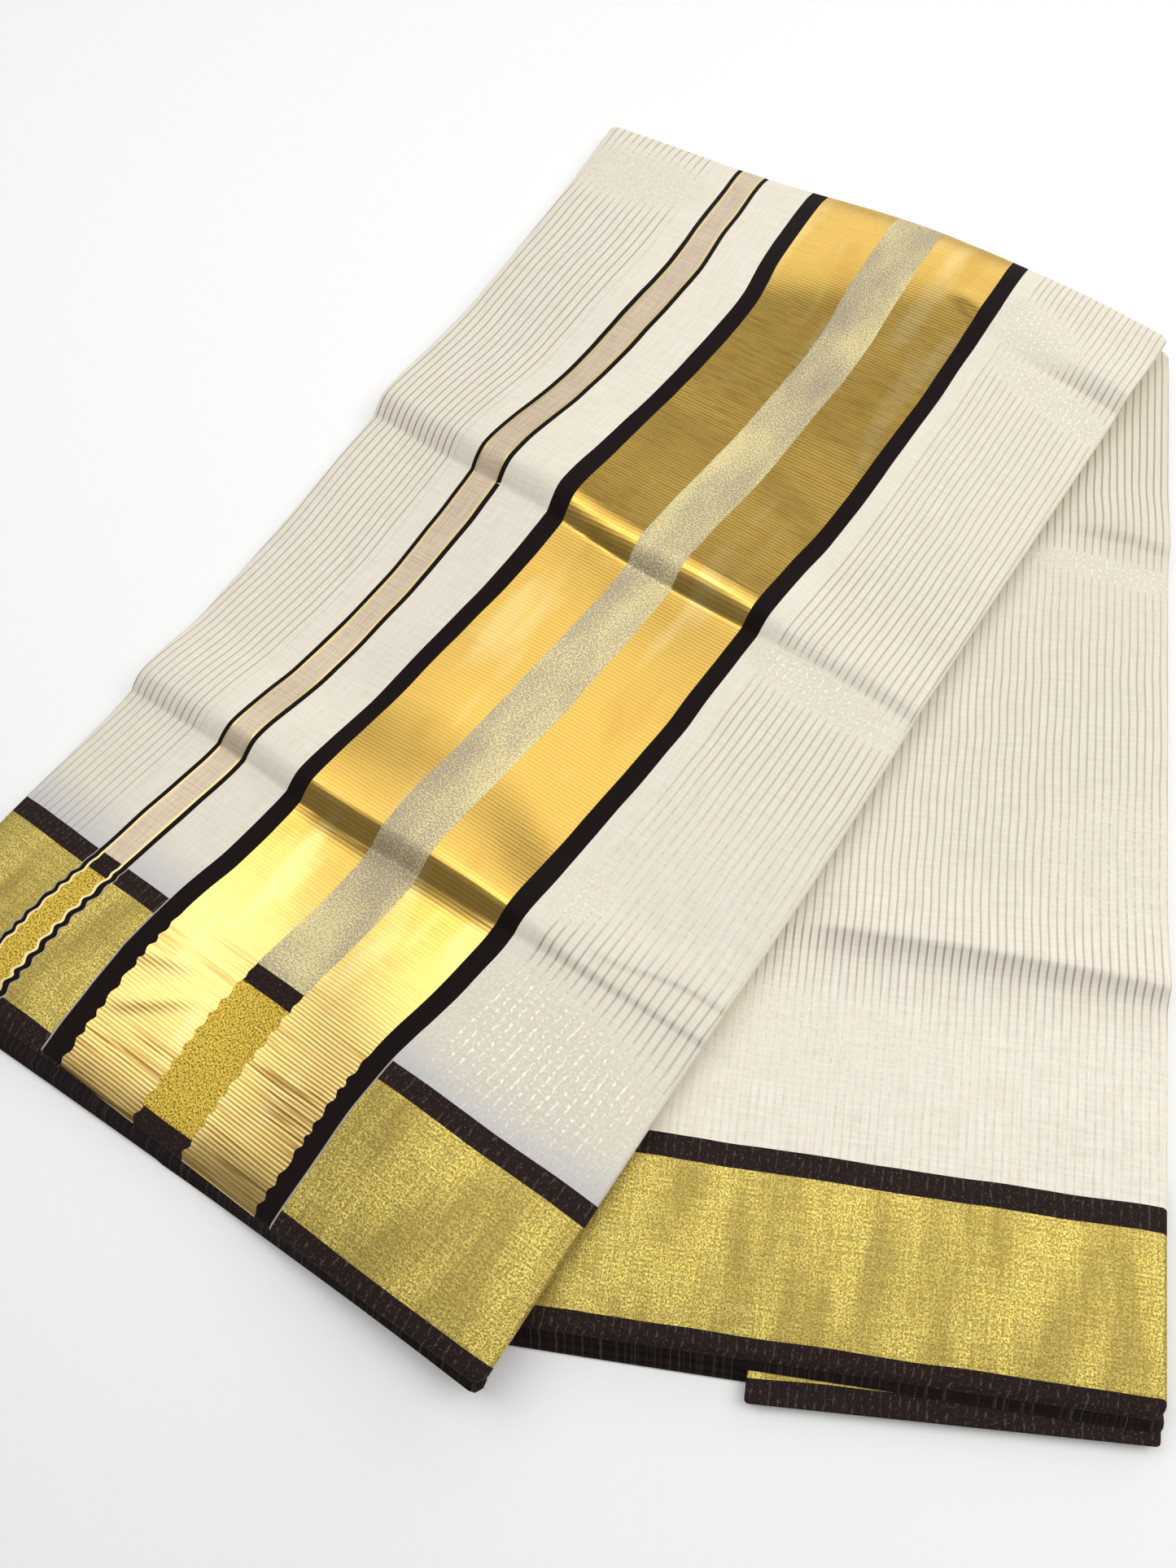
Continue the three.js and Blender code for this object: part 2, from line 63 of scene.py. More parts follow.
# A leaf of a stack as its edge shows: at each part of its thickness, how much it is rounded in
# and which of its two sheets shows
LEAF_PROFILE = [
    (0.04, 0.75, "upper"), (0.16, 0.3, "upper"), (0.36, 0.03, "upper"), (0.46, 0.0, "upper"),
    (0.5, 0.0, "between"),
    (0.54, 0.0, "lower"), (0.64, 0.03, "lower"), (0.84, 0.3, "lower"), (0.96, 0.75, "lower"),
]
LEAF_ROUND = 1.1
LEAF_SLIT = 1.2  # depth of the slit between its two sheets at the selvedge
LEAF_GROOVE, LEAF_GAP = 1.9, 1.4  # depth of the groove to the next leaf, at a fold and at the selvedge
LEAF_FOOT = 1.5  # how far the lowest leaf stands back where it rests
LEAF_WANDER = table("size pace shift", (0.35, 0.11, 2.1), (0.25, 0.043, -1.3))
SHEET_WANDER, SHEET_OFFSET = 0.6, 40  # selvedges wander less, the lower sheet out of step with the upper
BASE_SHOULDER = 0.4  # how far the lowest layers' first leaf lies under their flat top

# The net of a panel is closer towards its edges: its step there, and how fast it grows inwards
EDGE_STEP, EDGE_GROWTH = 0.7, 0.22
WRINKLE_END = 0.3  # share of a wrinkle's length over which it dies away

# Where the middle of the plan lies
MIDDLE_X, MIDDLE_Y = -65.5, 284.6

# Pallu stack
PALLU = {"left": -335.0, "right": 0.0, "low": 0.0, "high": 585.0, "rise": 10.5, "corner": 2.2}
PALLU_SIDES = table(
    "along left right",
    (-20, -343.0, -1.5),
    (65, -343.0, -1.5),
    (140, -336.0, -1.0),
    (260, -332.6, 0.6),
    (345, -333.0, -0.6),
    (470, -331.4, 0.4),
    (600, -340.5, 2.2),
)
# where the hidden layers' selvedge side, the top sheet's own edge and the top fold run
PALLU_ENDS = table(
    "across selvedge edge fold",
    (-345, -16.6, -12.4, 584.5),
    (-260, -11.5, -10.0, 588.0),
    (-130, -3.9, -6.9, 591.5),
    (-40, 1.4, -3.4, 580.4),
    (5, 2.6, -1.4, 573.8),
)
# Lengthwise folds pressed across the panel: where the foot of each runs, how high its crest stands above,
# the run of its near and far slopes, a low lip that dies away below its foot, and how pinched its crest is
# towards the near side and over the far one. Between "before" and "after" the net is closer.
CREASE = "across foot height near far lip pinch over"
CREASE_ROUND, CREASE_PINCHED = 1.7, 1.8  # how the near slope falls from a rounded and from a pinched crest
CROWN = 2.5  # width of the crest
LIP_GAP, LIP_RUN = 1.0, 9.0  # how far below the foot the lip reaches before it dies away, and over what run
PALLU_CREASES = [
    {"before": 316, "after": 374, "line": table(
        CREASE,
        (-345, 346.0, 7.4, 13.0, 80.0, 0.2, 0.0, 0.2),
        (-260, 339.5, 7.6, 13.0, 80.0, 0.2, 0.0, 0.3),
        (-215, 335.5, 7.6, 13.5, 78.0, 0.2, 0.0, 0.4),
        (-178, 330.6, 8.0, 14.0, 75.0, 0.2, 0.0, 0.5),
        (-86, 327.2, 6.6, 11.5, 55.0, 0.2, 0.0, 0.5),
        (-62, 327.4, 3.6, 8.5, 34.0, 0.4, 0.0, 0.2),
        (-25, 326.0, 2.9, 7.0, 26.0, 0.4, 0.1, 0.2),
        (5, 325.0, 2.3, 6.5, 22.0, 0.3, 0.1, 0.2),
    )},
    {"before": 138, "after": 186, "line": table(
        CREASE,
        (-345, 147.5, 5.8, 12.0, 44.0, 0.5, 0.0, 0.1),
        (-260, 149.5, 6.0, 12.0, 42.0, 0.6, 0.0, 0.2),
        (-200, 147.4, 6.2, 11.5, 58.0, 1.2, 0.0, 0.0),
        (-160, 147.6, 6.2, 11.5, 58.0, 1.3, 0.0, 0.0),
        (-95, 148.5, 5.0, 9.5, 36.0, 1.1, 0.0, 0.3),
        (-55, 150.2, 2.4, 4.0, 30.0, 0.3, 0.1, 0.1),
        (5, 152.4, 1.7, 3.2, 24.0, 0.2, 0.1, 0.1),
    )},
    {"before": 156, "after": 176, "line": table(
        CREASE,
        (-66, 156.5, 0.0, 3.5, 20.0, 0.0, 0.1, 0.1),
        (-48, 160.5, 0.9, 2.6, 22.0, 0.1, 0.1, 0.1),
        (-14, 168.0, 1.4, 2.4, 22.0, 0.1, 0.1, 0.1),
        (5, 168.2, 1.2, 2.4, 20.0, 0.1, 0.1, 0.1),
    )},
    {"before": 516, "after": 546, "line": table(
        CREASE,
        (-72, 533.0, 0.0, 11.0, 26.0, 0.0, 0.0, 0.0),
        (-48, 528.6, 1.9, 10.5, 26.0, 0.0, 0.0, 0.0),
        (-20, 524.0, 4.8, 9.5, 28.0, 0.0, 0.1, 0.1),
        (5, 520.5, 5.6, 9.0, 30.0, 0.0, 0.2, 0.2),
    )},
]
WRINKLE = "start end height width lopsided"
SWELL = "size amount turn"
PALLU_WRINKLES = table(
    WRINKLE,
    ((-262, 44), (-205, 62), 0.55, 4.0, 0.2),
    ((-238, 22), (-196, 52), 0.6, 3.2, 0.3),
    ((-205, 72), (-150, 88), 0.45, 5.0, 0.0),
    ((-104, 556), (-62, 534), 0.9, 5.5, 0.3),
    ((-330, 250), (-120, 236), 0.5, 16.0, 0.0),
    ((-250, 452), (-60, 436), 0.6, 22.0, 0.0),
)
PALLU_SWELLS = table(SWELL, (34.0, 0.34, 0.5), (15.0, 0.035, 1.3))

# Body stack, in its own frame from its lower right corner
BODY_X, BODY_Y = 212.3, 132.4
BODY_TURN = math.radians(24.84)
BODY = {"left": -266.0, "right": 0.0, "low": 0.0, "high": 491.0, "rise": 13.3, "corner": 3.0}
BODY_INSET = 1.6  # its sides stand back this far, for the roll of its top sheet
BODY_CREASES = [
    {"before": 148, "after": 182, "line": table(
        CREASE,
        (-266, 158.0, 5.6, 12.0, 44.0, 0.2, 0.9, 0.9),
        (-158, 155.4, 5.8, 12.0, 44.0, 0.2, 0.9, 0.9),
        (-60, 152.8, 6.2, 11.5, 40.0, 0.2, 0.9, 0.9),
        (4, 150.4, 5.4, 9.5, 36.0, 0.2, 0.9, 0.9),
    )},
    {"before": 362, "after": 392, "line": table(
        CREASE,
        (-96, 384.0, 0.4, 6.0, 30.0, 0.1, 0.2, 0.2),
        (-56, 378.4, 1.7, 6.0, 34.0, 0.4, 0.2, 0.2),
        (-26, 374.0, 2.6, 6.0, 34.0, 0.6, 0.2, 0.2),
        (4, 367.0, 2.4, 6.0, 30.0, 0.6, 0.2, 0.2),
    )},
]
BODY_WRINKLES = table(
    WRINKLE,
    ((-70, 402), (2, 384), 0.8, 12.0, 0.0),
    ((-160, 270), (2, 262), 0.7, 24.0, 0.0),
)
BODY_SWELLS = table(SWELL, (38.0, 0.18, 0.9), (16.0, 0.035, 0.2))
BODY_ROWS = table(
    "along lean",
    (0, 0.039),
    (158, -0.046),
    (364, -0.17),
    (491, 0.03),
)
BODY_SELVEDGE = 3.0
BODY_LEAN = 0.039
RELIEF_START, RELIEF_FULL = 4.0, 24.0  # from the pallu stack's side its relief grows over this stretch

# Tail end and lowest layers
TAIL = {"left": -149.0, "right": 0.0, "low": 0.0, "high": 486.0, "floor": 4.3, "thick": 1.6, "corner": 1.2}
TAIL_INSET, TAIL_END_BACK = 1.0, 2  # its sides and its hidden end stand back this far
TAIL_SELVEDGE = -8.0
TAIL_LEAN, HIDDEN_LEAN = 0.083, 0.8  # lean of its selvedge, and the share of that past its folded end
TAIL_CLEAR, TAIL_STEP = 4, 18.0  # past that end the layers above come down over this stretch
TAIL_ROUND = [(0.35, 0.12), (0.6, 0.6)]  # its rim: how far it bulges at what distance from its faces
BASE_RISE = 3.9

# Where the pallu stack bridges from the body stack down to the table, and how it clears the body stack
BRIDGE_FLAT, BRIDGE_FALL = 10.0, 120.0
BRIDGE_RISE = 0.6

# The border as woven, in mm from the selvedge, and how high its upper black line lies on each stack
BLACK_LOW, BLACK_TOP, BORDER_TOP = 8.8, 73.0, 82.5
PALLU_BORDER = 67.5
BODY_BORDER, BODY_BORDER_LEAN = 65.0, 0.01
LAYER_IN, FIRST_THREAD, PIN_ASIDE = 1.0, 0.5, 1.3  # where the pattern of hidden layers starts at their edges

# How the woven lines of the pallu lie askew: mm to the right at each height along the panel,
# for the threads 0, 76, 200, 250 and 340 mm from the right fold
PULL_THREADS = [-340, -250, -200, -76, 0]
PULL = table(
    "along shift",
    (0, [-32.0, -47.0, -36.5, -31.6, -8.0]),
    (43, [-28.0, -43.0, -38.0, -31.6, -7.0]),
    (80, [-22.0, -35.0, -34.6, -28.0, -5.0]),
    (110, [-17.0, -30.0, -28.0, -21.0, -3.0]),
    (148, [-12.0, -23.0, -22.3, -15.6, -1.0]),
    (187, [-8.0, -18.3, -18.3, -13.3, 0.0]),
    (267, [0.0, -8.3, -5.6, -6.5, 0.0]),
    (310, [-1.0, -7.0, 1.0, -5.0, 0.0]),
    (357, [0.0, -5.0, 1.7, -2.5, 0.0]),
    (400, [2.0, 4.0, 4.7, 0.5, 0.0]),
    (450, [2.0, 9.0, 10.5, 1.5, 0.0]),
    (500, [2.0, 11.0, 12.0, 2.0, 0.0]),
    (533, [1.0, 7.0, 6.0, 1.5, 0.0]),
    (585, [0.0, 0.0, 0.0, 0.0, 0.0]),
)
PULL_ROUNDS = 6  # rounds that it takes to find a thread from the place where it lies


def clamp01(t):
    return np.clip(t, 0.0, 1.0)


def smooth(t):
    t = clamp01(t)
    return t * t * (3 - 2 * t)


def mix(a, b, t):
    return a + (b - a) * t


def flowing(rows, key, at, column, part=None):
    """A smooth line through one column of a table, read at any place along its key."""
    keys = np.array([row[key] for row in rows], float)
    values = np.array([row[column] if part is None else row[column][part] for row in rows], float)
    slope = np.gradient(values, keys)
    i = np.clip(np.searchsorted(keys, at) - 1, 0, len(keys) - 2)
    span = keys[i + 1] - keys[i]
    t = clamp01((at - keys[i]) / span)
    ahead = t * t * (3 - 2 * t)
    return (
        mix(values[i], values[i + 1], ahead)
        + (t ** 3 - 2 * t * t + t) * span * slope[i]
        + (t ** 3 - t * t) * span * slope[i + 1]
    )


def body_to_plan(x, y):
    c, s = math.cos(BODY_TURN), math.sin(BODY_TURN)
    return BODY_X + c * x - s * y, BODY_Y + s * x + c * y


def plan_to_body(x, y):
    c, s = math.cos(BODY_TURN), math.sin(BODY_TURN)
    return c * (x - BODY_X) + s * (y - BODY_Y), -s * (x - BODY_X) + c * (y - BODY_Y)


def crease_height(creases, x, y):
    """Pressed folds across a panel: a steep near slope, rounded or pinched at its crest, and a long one
    behind, on a low lip that dies away below its foot."""
    z = np.zeros_like(x)
    for crease in creases:
        foot, height, near, far, lip, pinch, over = (
            flowing(crease["line"], "across", x, column)
            for column in ("foot", "height", "near", "far", "lip", "pinch", "over")
        )
        t = y - foot
        down = clamp01((near - t) / near)
        behind = clamp01((t - near - CROWN) / far)
        front = mix(1 - down ** CREASE_ROUND, (1 - down) ** CREASE_PINCHED, pinch)
        back = mix(1 - smooth(behind), (1 - behind) ** 2, over)
        below = clamp01(1 + (t + LIP_GAP) / LIP_RUN) ** 2
        z = z + np.where(t < near, height * front + lip * below, (height + lip) * back)
    return z


def wrinkle(x, y, start, end, height, width, lopsided=0.0):
    """A soft ridge (or trough) along a line, dying away at both ends; lopsided makes one side steeper."""
    dx, dy = end[0] - start[0], end[1] - start[1]
    length = math.hypot(dx, dy)
    along = ((x - start[0]) * dx + (y - start[1]) * dy) / length
    off = (-(x - start[0]) * dy + (y - start[1]) * dx) / length
    width = width * (1 + lopsided * np.tanh(off / width))
    ends = smooth(along / (WRINKLE_END * length)) * smooth((length - along) / (WRINKLE_END * length))
    return height * ends * np.exp(-((off / width) ** 2))


def swell(x, y, size, amount, turn):
    """Slow unevenness of cloth that lies on more cloth: crossed waves out of step with each other."""
    c, s = math.cos(turn), math.sin(turn)
    u, v = (c * x + s * y) / size, (-s * x + c * y) / size
    return amount * (
        np.sin(u + 1.7 * np.sin(0.6 * v)) * np.cos(0.8 * v + 0.9 * np.sin(0.7 * u))
        + 0.5 * np.sin(2.3 * u + 1.3 * v + turn)
    )


def relief(creases, wrinkles, swells, x, y):
    """How far the cloth stands above a flat panel."""
    z = crease_height(creases, x, y)
    for row in wrinkles:
        z = z + wrinkle(x, y, **row)
    for row in swells:
        z = z + swell(x, y, **row)
    return z


def outside_body(x, y):
    """How far a plan point lies outside the body stack, 0 over it."""
    u, v = plan_to_body(x, y)
    low = TAIL_SELVEDGE + TAIL_LEAN * u * np.where(u > TAIL["left"], 1.0, HIDDEN_LEAN)
    dx = np.maximum(np.maximum(u, BODY["left"] - u), 0)
    dy = np.maximum(np.maximum(v - BODY["high"], low - v), 0)
    return np.hypot(dx, dy)


def support_under_pallu(x, y):
    fall = smooth((outside_body(x, y) - BRIDGE_FLAT) / BRIDGE_FALL)
    return (BODY["rise"] + BRIDGE_RISE + CLEAR) * (1 - fall)


def pillow(size, x, y):
    """How far the top rounds down towards the sides of its panel."""
    def near(d):
        return (1 - clamp01(d / PILLOW_WIDTH)) ** 2
    sides = np.maximum(near(x - size["left"]), near(size["right"] - x))
    ends = np.maximum(near(size["high"] - y), PILLOW_LOW * near(y - size["low"]))
    return PILLOW * np.maximum(sides, ends)


def round_corner(x, y, size):
    """Turns each corner square of a panel into a quarter disc."""
    r = size["corner"]
    cx = np.clip(x, size["left"] + r, size["right"] - r)
    cy = np.clip(y, size["low"] + r, size["high"] - r)
    dx, dy = x - cx, y - cy
    reach = np.hypot(dx, dy)
    k = np.where((dx != 0) & (dy != 0), np.maximum(abs(dx), abs(dy)) / np.maximum(reach, 1e-9), 1.0)
    return cx + dx * k, cy + dy * k


def stations(low, high, step, fine, creases=()):
    """Places from low to high, the given step apart and closer at both ends and at each crease."""
    at = [low]
    while at[-1] < high:
        here = at[-1]
        gap = step
        for crease in creases:
            if crease["before"] < here < crease["after"]:
                gap = min(gap, fine)
        edge = min(here - low, high - here)
        gap = min(gap, EDGE_STEP + EDGE_GROWTH * edge)
        at.append(here + gap)
    scale = (high - low) / (at[-1] - low)
    return low + (np.array(at) - low) * scale


class Panel:
    """A panel of cloth laid out as a net of plan points, with its rim in order."""

    def __init__(self, size, columns, rows, place):
        self.u, self.v = np.meshgrid(columns, rows)
        ru, rv = round_corner(self.u, self.v, size)
        self.own_x, self.own_y, self.x, self.y = place(ru, rv)
        ny, nx = self.u.shape
        self.rim = (
            [(0, i) for i in range(nx - 1)]
            + [(j, nx - 1) for j in range(ny - 1)]
            + [(ny - 1, i) for i in range(nx - 1, 0, -1)]
            + [(j, 0) for j in range(ny - 1, 0, -1)]
        )
        self.rj, self.ri = (np.array(c) for c in zip(*self.rim))
        rx, ry = self.x[self.rj, self.ri], self.y[self.rj, self.ri]
        tx = np.roll(rx, -1) - np.roll(rx, 1)
        ty = np.roll(ry, -1) - np.roll(ry, 1)
        span = np.hypot(tx, ty)
        self.out_x, self.out_y = ty / span, -tx / span
        self.rim_x, self.rim_y = rx, ry

    def shares(self, turn):
        """How much each rim point belongs to the selvedge, the top fold and the folded sides."""
        up = -math.sin(turn) * self.out_x + math.cos(turn) * self.out_y
        return {"selvedge": np.maximum(0, -up) ** 2, "fold": np.maximum(0, up) ** 2, "side": 1 - up * up}

    def at_rim(self, grid):
        return grid[self.rj, self.ri]


def mesh_piece(name, points, faces, uv, finish):
    """A new mesh object from points in plan mm, with the cloth's own coordinates as its UV map
    and the light painted at each point: how plain its pinstripes show, its painted glints and how far it is
    lit, less being painted shade."""
    verts = (np.column_stack(points) - [MIDDLE_X, MIDDLE_Y, 0.0]) * MM
    mesh = bpy.data.meshes.new(name)
    mesh.from_pydata(verts.tolist(), [], faces)
    layer = mesh.uv_layers.new(name="cloth")
    corner = np.zeros(len(mesh.loops), np.int32)
    mesh.loops.foreach_get("vertex_index", corner)
    layer.data.foreach_set("uv", (np.column_stack(uv)[corner] * MM).astype(np.float32).ravel())
    # the finish attribute holds painted light: pinstripe plainness, painted glints and painted shade
    shown = mesh.attributes.new("finish", "FLOAT_COLOR", "POINT")
    colours = np.column_stack((*finish, np.ones(len(verts)))).astype(np.float32)
    shown.data.foreach_set("color", colours.ravel())
    mesh.update()
    piece = bpy.data.objects.new(name, mesh)
    bpy.context.scene.collection.objects.link(piece)
    bpy.ops.object.select_all(action="DESELECT")
    piece.select_set(True)
    bpy.context.view_layer.objects.active = piece
    bpy.ops.object.shade_smooth()
    return piece


def grid_faces(ids, flip=False):
    a, b, c, d = ids[:-1, :-1], ids[:-1, 1:], ids[1:, 1:], ids[1:, :-1]
    quads = np.stack([a, d, c, b] if flip else [a, b, c, d], -1).reshape(-1, 4)
    return quads.tolist()


def loop_faces(upper, lower):
    quads = np.stack([np.roll(upper, -1), upper, lower, np.roll(lower, -1)], -1)
    return quads.tolist()


def build(name, panel, height, rings, cloth_at, pins_and_light_at, floor=None):
    """A net and rings that run on from its rim; with a floor height it is closed below by a second net."""
    strips = []

    def lay(*columns):
        """Adds points by their plan, height and own place; gives their numbers."""
        start = sum(strip.shape[1] for strip in strips)
        strips.append(np.stack(np.broadcast_arrays(*columns)))
        return start + np.arange(strips[-1].shape[1])

    def lay_net(z, chosen):
        return lay(*(grid[chosen] for grid in (panel.x, panel.y, z, panel.own_x, panel.own_y)))

    inside = np.ones(panel.u.shape, bool)
    top = lay_net(height, inside).reshape(panel.u.shape)
    faces = grid_faces(top)
    last = panel.at_rim(top)
    own_x, own_y = panel.at_rim(panel.own_x), panel.at_rim(panel.own_y)
    for out, z, arc in rings:
        # the pattern runs on over the fold by the length of cloth that has gone round it
        here = lay(
            panel.rim_x + panel.out_x * out, panel.rim_y + panel.out_y * out, z,
            own_x + panel.out_x * arc, own_y + panel.out_y * arc,
        )
        faces += loop_faces(last, here)
        last = here
    if floor is not None:
        below = np.zeros(panel.u.shape, int)
        below[panel.rj, panel.ri] = last
        inside[panel.rj, panel.ri] = False
        below[inside] = lay_net(floor, inside)
        faces += grid_faces(below, flip=True)
    x, y, z, *own = np.concatenate(strips, axis=1)
    return mesh_piece(name, (x, y, z), faces, cloth_at(*own), pins_and_light_at(*own))


def rolled_rings(panel, height, turn):
    """Rings of a top sheet: rolled under at its folds, a drooping lip at its selvedge."""
    w = panel.shares(turn)["selvedge"]
    base = panel.at_rim(height)
    rings = []
    for k in range(1, ROLL_STEPS + 1):
        angle = math.pi * k / ROLL_STEPS
        part = k / ROLL_STEPS
        out = mix(ROLL * math.sin(angle), LIP * part, w)
        z = base + mix(ROLL * (math.cos(angle) - 1), -LIP_DROOP * part * part, w)
        rings.append((out, z, mix(ROLL * angle, LIP * part, w)))
    for part in (0.3, 1.0):
        out = mix(-TUCK * part, LIP + LIP_END * part, w)
        z = base + mix(-2 * ROLL - TUCK_SINK * part, -LIP_DROOP - LIP_END_DROOP * part, w)
        rings.append((out, z, mix(ROLL * math.pi + TUCK * part, LIP, w)))
    return rings


def leaf_rings(panel, turn, leaves, top, floor):
    """Rings down the side of a stack: each leaf is a rounded fold at the sides, and two thin edges
    at the selvedge."""
    share = panel.shares(turn)
    s, f, side = share["selvedge"], share["fold"], share["side"]
    k = np.arange(len(panel.rim))
    rings = [(-SHOULDER_BACK, top, 0.0)]
    sizes = np.array([leaf["share"] for leaf in leaves])
    sizes = sizes / sizes.sum()
    start = 0.0
    for n, leaf in enumerate(leaves):
        wander = sum(wave["size"] * np.sin(k * wave["pace"] + n * wave["shift"]) for wave in LEAF_WANDER)
        reach = side * leaf["side"] + f * leaf["fold"] + wander * (1 - s)
        upper = reach + s * (leaf["upper"] + SHEET_WANDER * wander)
        lower = reach + s * (leaf["lower"] + SHEET_WANDER * np.roll(wander, SHEET_OFFSET))
        edges = {"upper": upper, "between": np.minimum(upper, lower) - LEAF_SLIT * s, "lower": lower}
        for part, inset, sheet in LEAF_PROFILE:
            out = edges[sheet] - inset * LEAF_ROUND * (1 - s)
            z = mix(top, floor, start + sizes[n] * part)
            rings.append((out, z, np.maximum(out, 0) * (1 - s)))
        start += sizes[n]
        if n < len(leaves) - 1:
            nearer = min(leaf["lower"], leaves[n + 1]["upper"])
            inward = reach - LEAF_GROOVE * (1 - s) + s * (nearer - LEAF_GAP)
            rings.append((inward, mix(top, floor, start), 0.0))
    rings.append((-LEAF_FOOT, floor, 0.0))
    return rings


def under_roll(panel, turn):
    """How far down a stack's first leaf starts, to clear the rolled edge of the sheet over it."""
    return mix(2 * ROLL + SHOULDER_GAP - UNDER, LIP_DROOP + SHOULDER_GAP, panel.shares(turn)["selvedge"])


def layers(name, panel, turn, leaves, top, shoulder, floor, cloth_at, pins_and_light_at):
    """A stack of hidden layers, closed below, with its leaves showing round the edge."""
    rings = leaf_rings(panel, turn, leaves, panel.at_rim(top) - shoulder, panel.at_rim(floor))
    return build(name, panel, top, rings, cloth_at, pins_and_light_at, floor)


# How the cloth shows along a panel, with light painted in: how plainly the pinstripes show (their own brown,
# and painted reflection where they look darker or fainter), how far it is lit (less is painted shade, darker
# up the body stack), and patches of painted glints where gold thread catches the light
PALLU_SHOWN = table(
    "along left right pale",
    (-20, 0.44, 0.12, 0.56),
    (90, 0.46, 0.16, 0.60),
    (138, 0.50, 0.42, 0.64),
    (160, 0.55, 0.46, 0.64),
    (184, 0.55, 0.24, 0.66),
    (240, 0.60, 0.32, 0.66),
    (296, 0.62, 0.44, 0.66),
    (318, 0.62, 0.30, 0.66),
    (334, 0.66, 0.42, 0.66),
    (440, 0.66, 0.40, 0.68),
    (530, 0.62, 0.40, 0.66),
    (600, 0.60, 0.46, 0.66),
)
PALLU_GLINTS = table(
    "x y wide long turn amount",
    (-62, 547, 32, 14, -0.3, 1.0),
    (-26, 512, 34, 8, -0.3, 1.0),
    (-44, 317, 44, 9, -0.10, 0.9),
    (-84, 178, 18, 14, 0.0, 0.8),
    (-60, 112, 60, 26, -0.05, 1.0),
    (-300, 555, 44, 20, 0.0, 0.8),
)
BODY_SHOWN = table(
    "along left right pale",
    (-20, 0.22, 0.24, 1.0),
    (100, 0.22, 0.24, 1.0),
    (130, 0.32, 0.26, 0.98),
    (156, 0.50, 0.46, 0.85),
    (190, 0.46, 0.44, 0.78),
    (300, 0.46, 0.46, 0.62),
    (362, 0.46, 0.38, 0.50),
    (380, 0.50, 0.52, 0.45),
    (500, 0.55, 0.55, 0.30),
)
BODY_GLINTS = table(
    "x y wide long turn amount",
    (-26, 358, 38, 6, -0.2, 0.8),
    (-20, 214, 30, 30, 0.0, 0.35),
    (-150, 118, 70, 22, 0.0, 0.5),
)

SLOPE_DARK, SLOPE_GAIN = 0.22, 1.6  # how much plainer pinstripes show on a slope, and how soon
GLINT_EDGE = 1.6  # a glinting patch has faded out at this many times its size


def painted_light_from(shown, glints, creases, middle, width):
    """How the cloth shows at a place: how plain its pinstripes show, its painted glints, and how far it is
    lit, less being painted shade.
    The left and right columns blend over a stretch of the given width."""
    def finish(x, y):
        plain = mix(flowing(shown, "along", y, "left"), flowing(shown, "along", y, "right"),
                    smooth((x - middle) / width + 0.5))
        # seen against the light on a slope, the threads look darker
        slope = (crease_height(creases, x, y + 1.0) - crease_height(creases, x, y - 1.0)) / 2
        plain = plain + SLOPE_DARK * clamp01(SLOPE_GAIN * slope)
        # painted glints: soft patches where gold thread catches the light
        glitter = np.zeros_like(x)
        for spot in glints:
            c, s = math.cos(spot["turn"]), math.sin(spot["turn"])
            across = (c * (x - spot["x"]) + s * (y - spot["y"])) / spot["wide"]
            along = (-s * (x - spot["x"]) + c * (y - spot["y"])) / spot["long"]
            glitter = np.maximum(glitter, spot["amount"] * smooth(GLINT_EDGE - np.hypot(across, along)))
        return plain, glitter, flowing(shown, "along", y, "pale")
    return finish


pallu_painted_light = painted_light_from(PALLU_SHOWN, PALLU_GLINTS, PALLU_CREASES, middle=-170.0, width=60.0)
body_painted_light = painted_light_from(BODY_SHOWN, BODY_GLINTS, BODY_CREASES, middle=-100.0, width=120.0)

# Leaves of each stack from the top down: its share of the thickness, and how far it stands out at the
# folded sides, at the top fold, and at the selvedge with its upper and its lower sheet
LEAF = "share side fold upper lower"
PALLU_LEAVES = table(
    LEAF,
    (1.0, -3.2, 0.6, 4.2, 5.4),
    (1.1, -2.8, 1.2, 4.9, 6.3),
    (0.9, -3.6, 0.9, 6.9, 5.9),
    (1.1, -3.0, 1.6, 7.2, 7.9),
    (1.0, -2.6, 0.8, 8.3, 8.5),
)
BODY_LEAVES = table(
    LEAF,
    (1.0, 1.2, 1.2, 3.4, 4.1),
    (1.0, 0.6, 0.8, 4.4, 5.0),
    (1.0, 1.3, 1.0, 5.6, 5.2),
    (1.0, 0.8, 1.3, 6.0, 6.6),
)
BASE_LEAVES = table(LEAF, (1.0, 1.5, 1.0, 8.6, 9.2), (1.0, 0.8, 1.6, 9.8, 10.6))


def panel_net(size, creases, place, across, along, at_creases):
    """A panel's net, with its steps across the panel, along it, and along it at the creases."""
    return Panel(
        size,
        stations(size["left"], size["right"], across, across),
        stations(size["low"], size["high"], along, at_creases, creases),
        place,
    )


def top_sheet(name, panel, height, turn, cloth_at, pins_and_light_at):
    """The sheet that shows on a stack: a thin shell rolled under at its folds."""
    piece = build(name, panel, height, rolled_rings(panel, height, turn), cloth_at, pins_and_light_at)
    shell = piece.modifiers.new("Solidify", "SOLIDIFY")
    shell.thickness = CLOTH * MM
    shell.offset = -1
    shell.use_even_offset = False
    bpy.ops.object.modifier_apply(modifier=shell.name)
    return piece


def border_place(up, scale):
    """Distance from the selvedge in border threads: as woven to the upper black line, then true size."""
    threads = up / scale
    return np.where(threads < BLACK_TOP, threads, BLACK_TOP + (up - BLACK_TOP * scale))


# The pallu stack

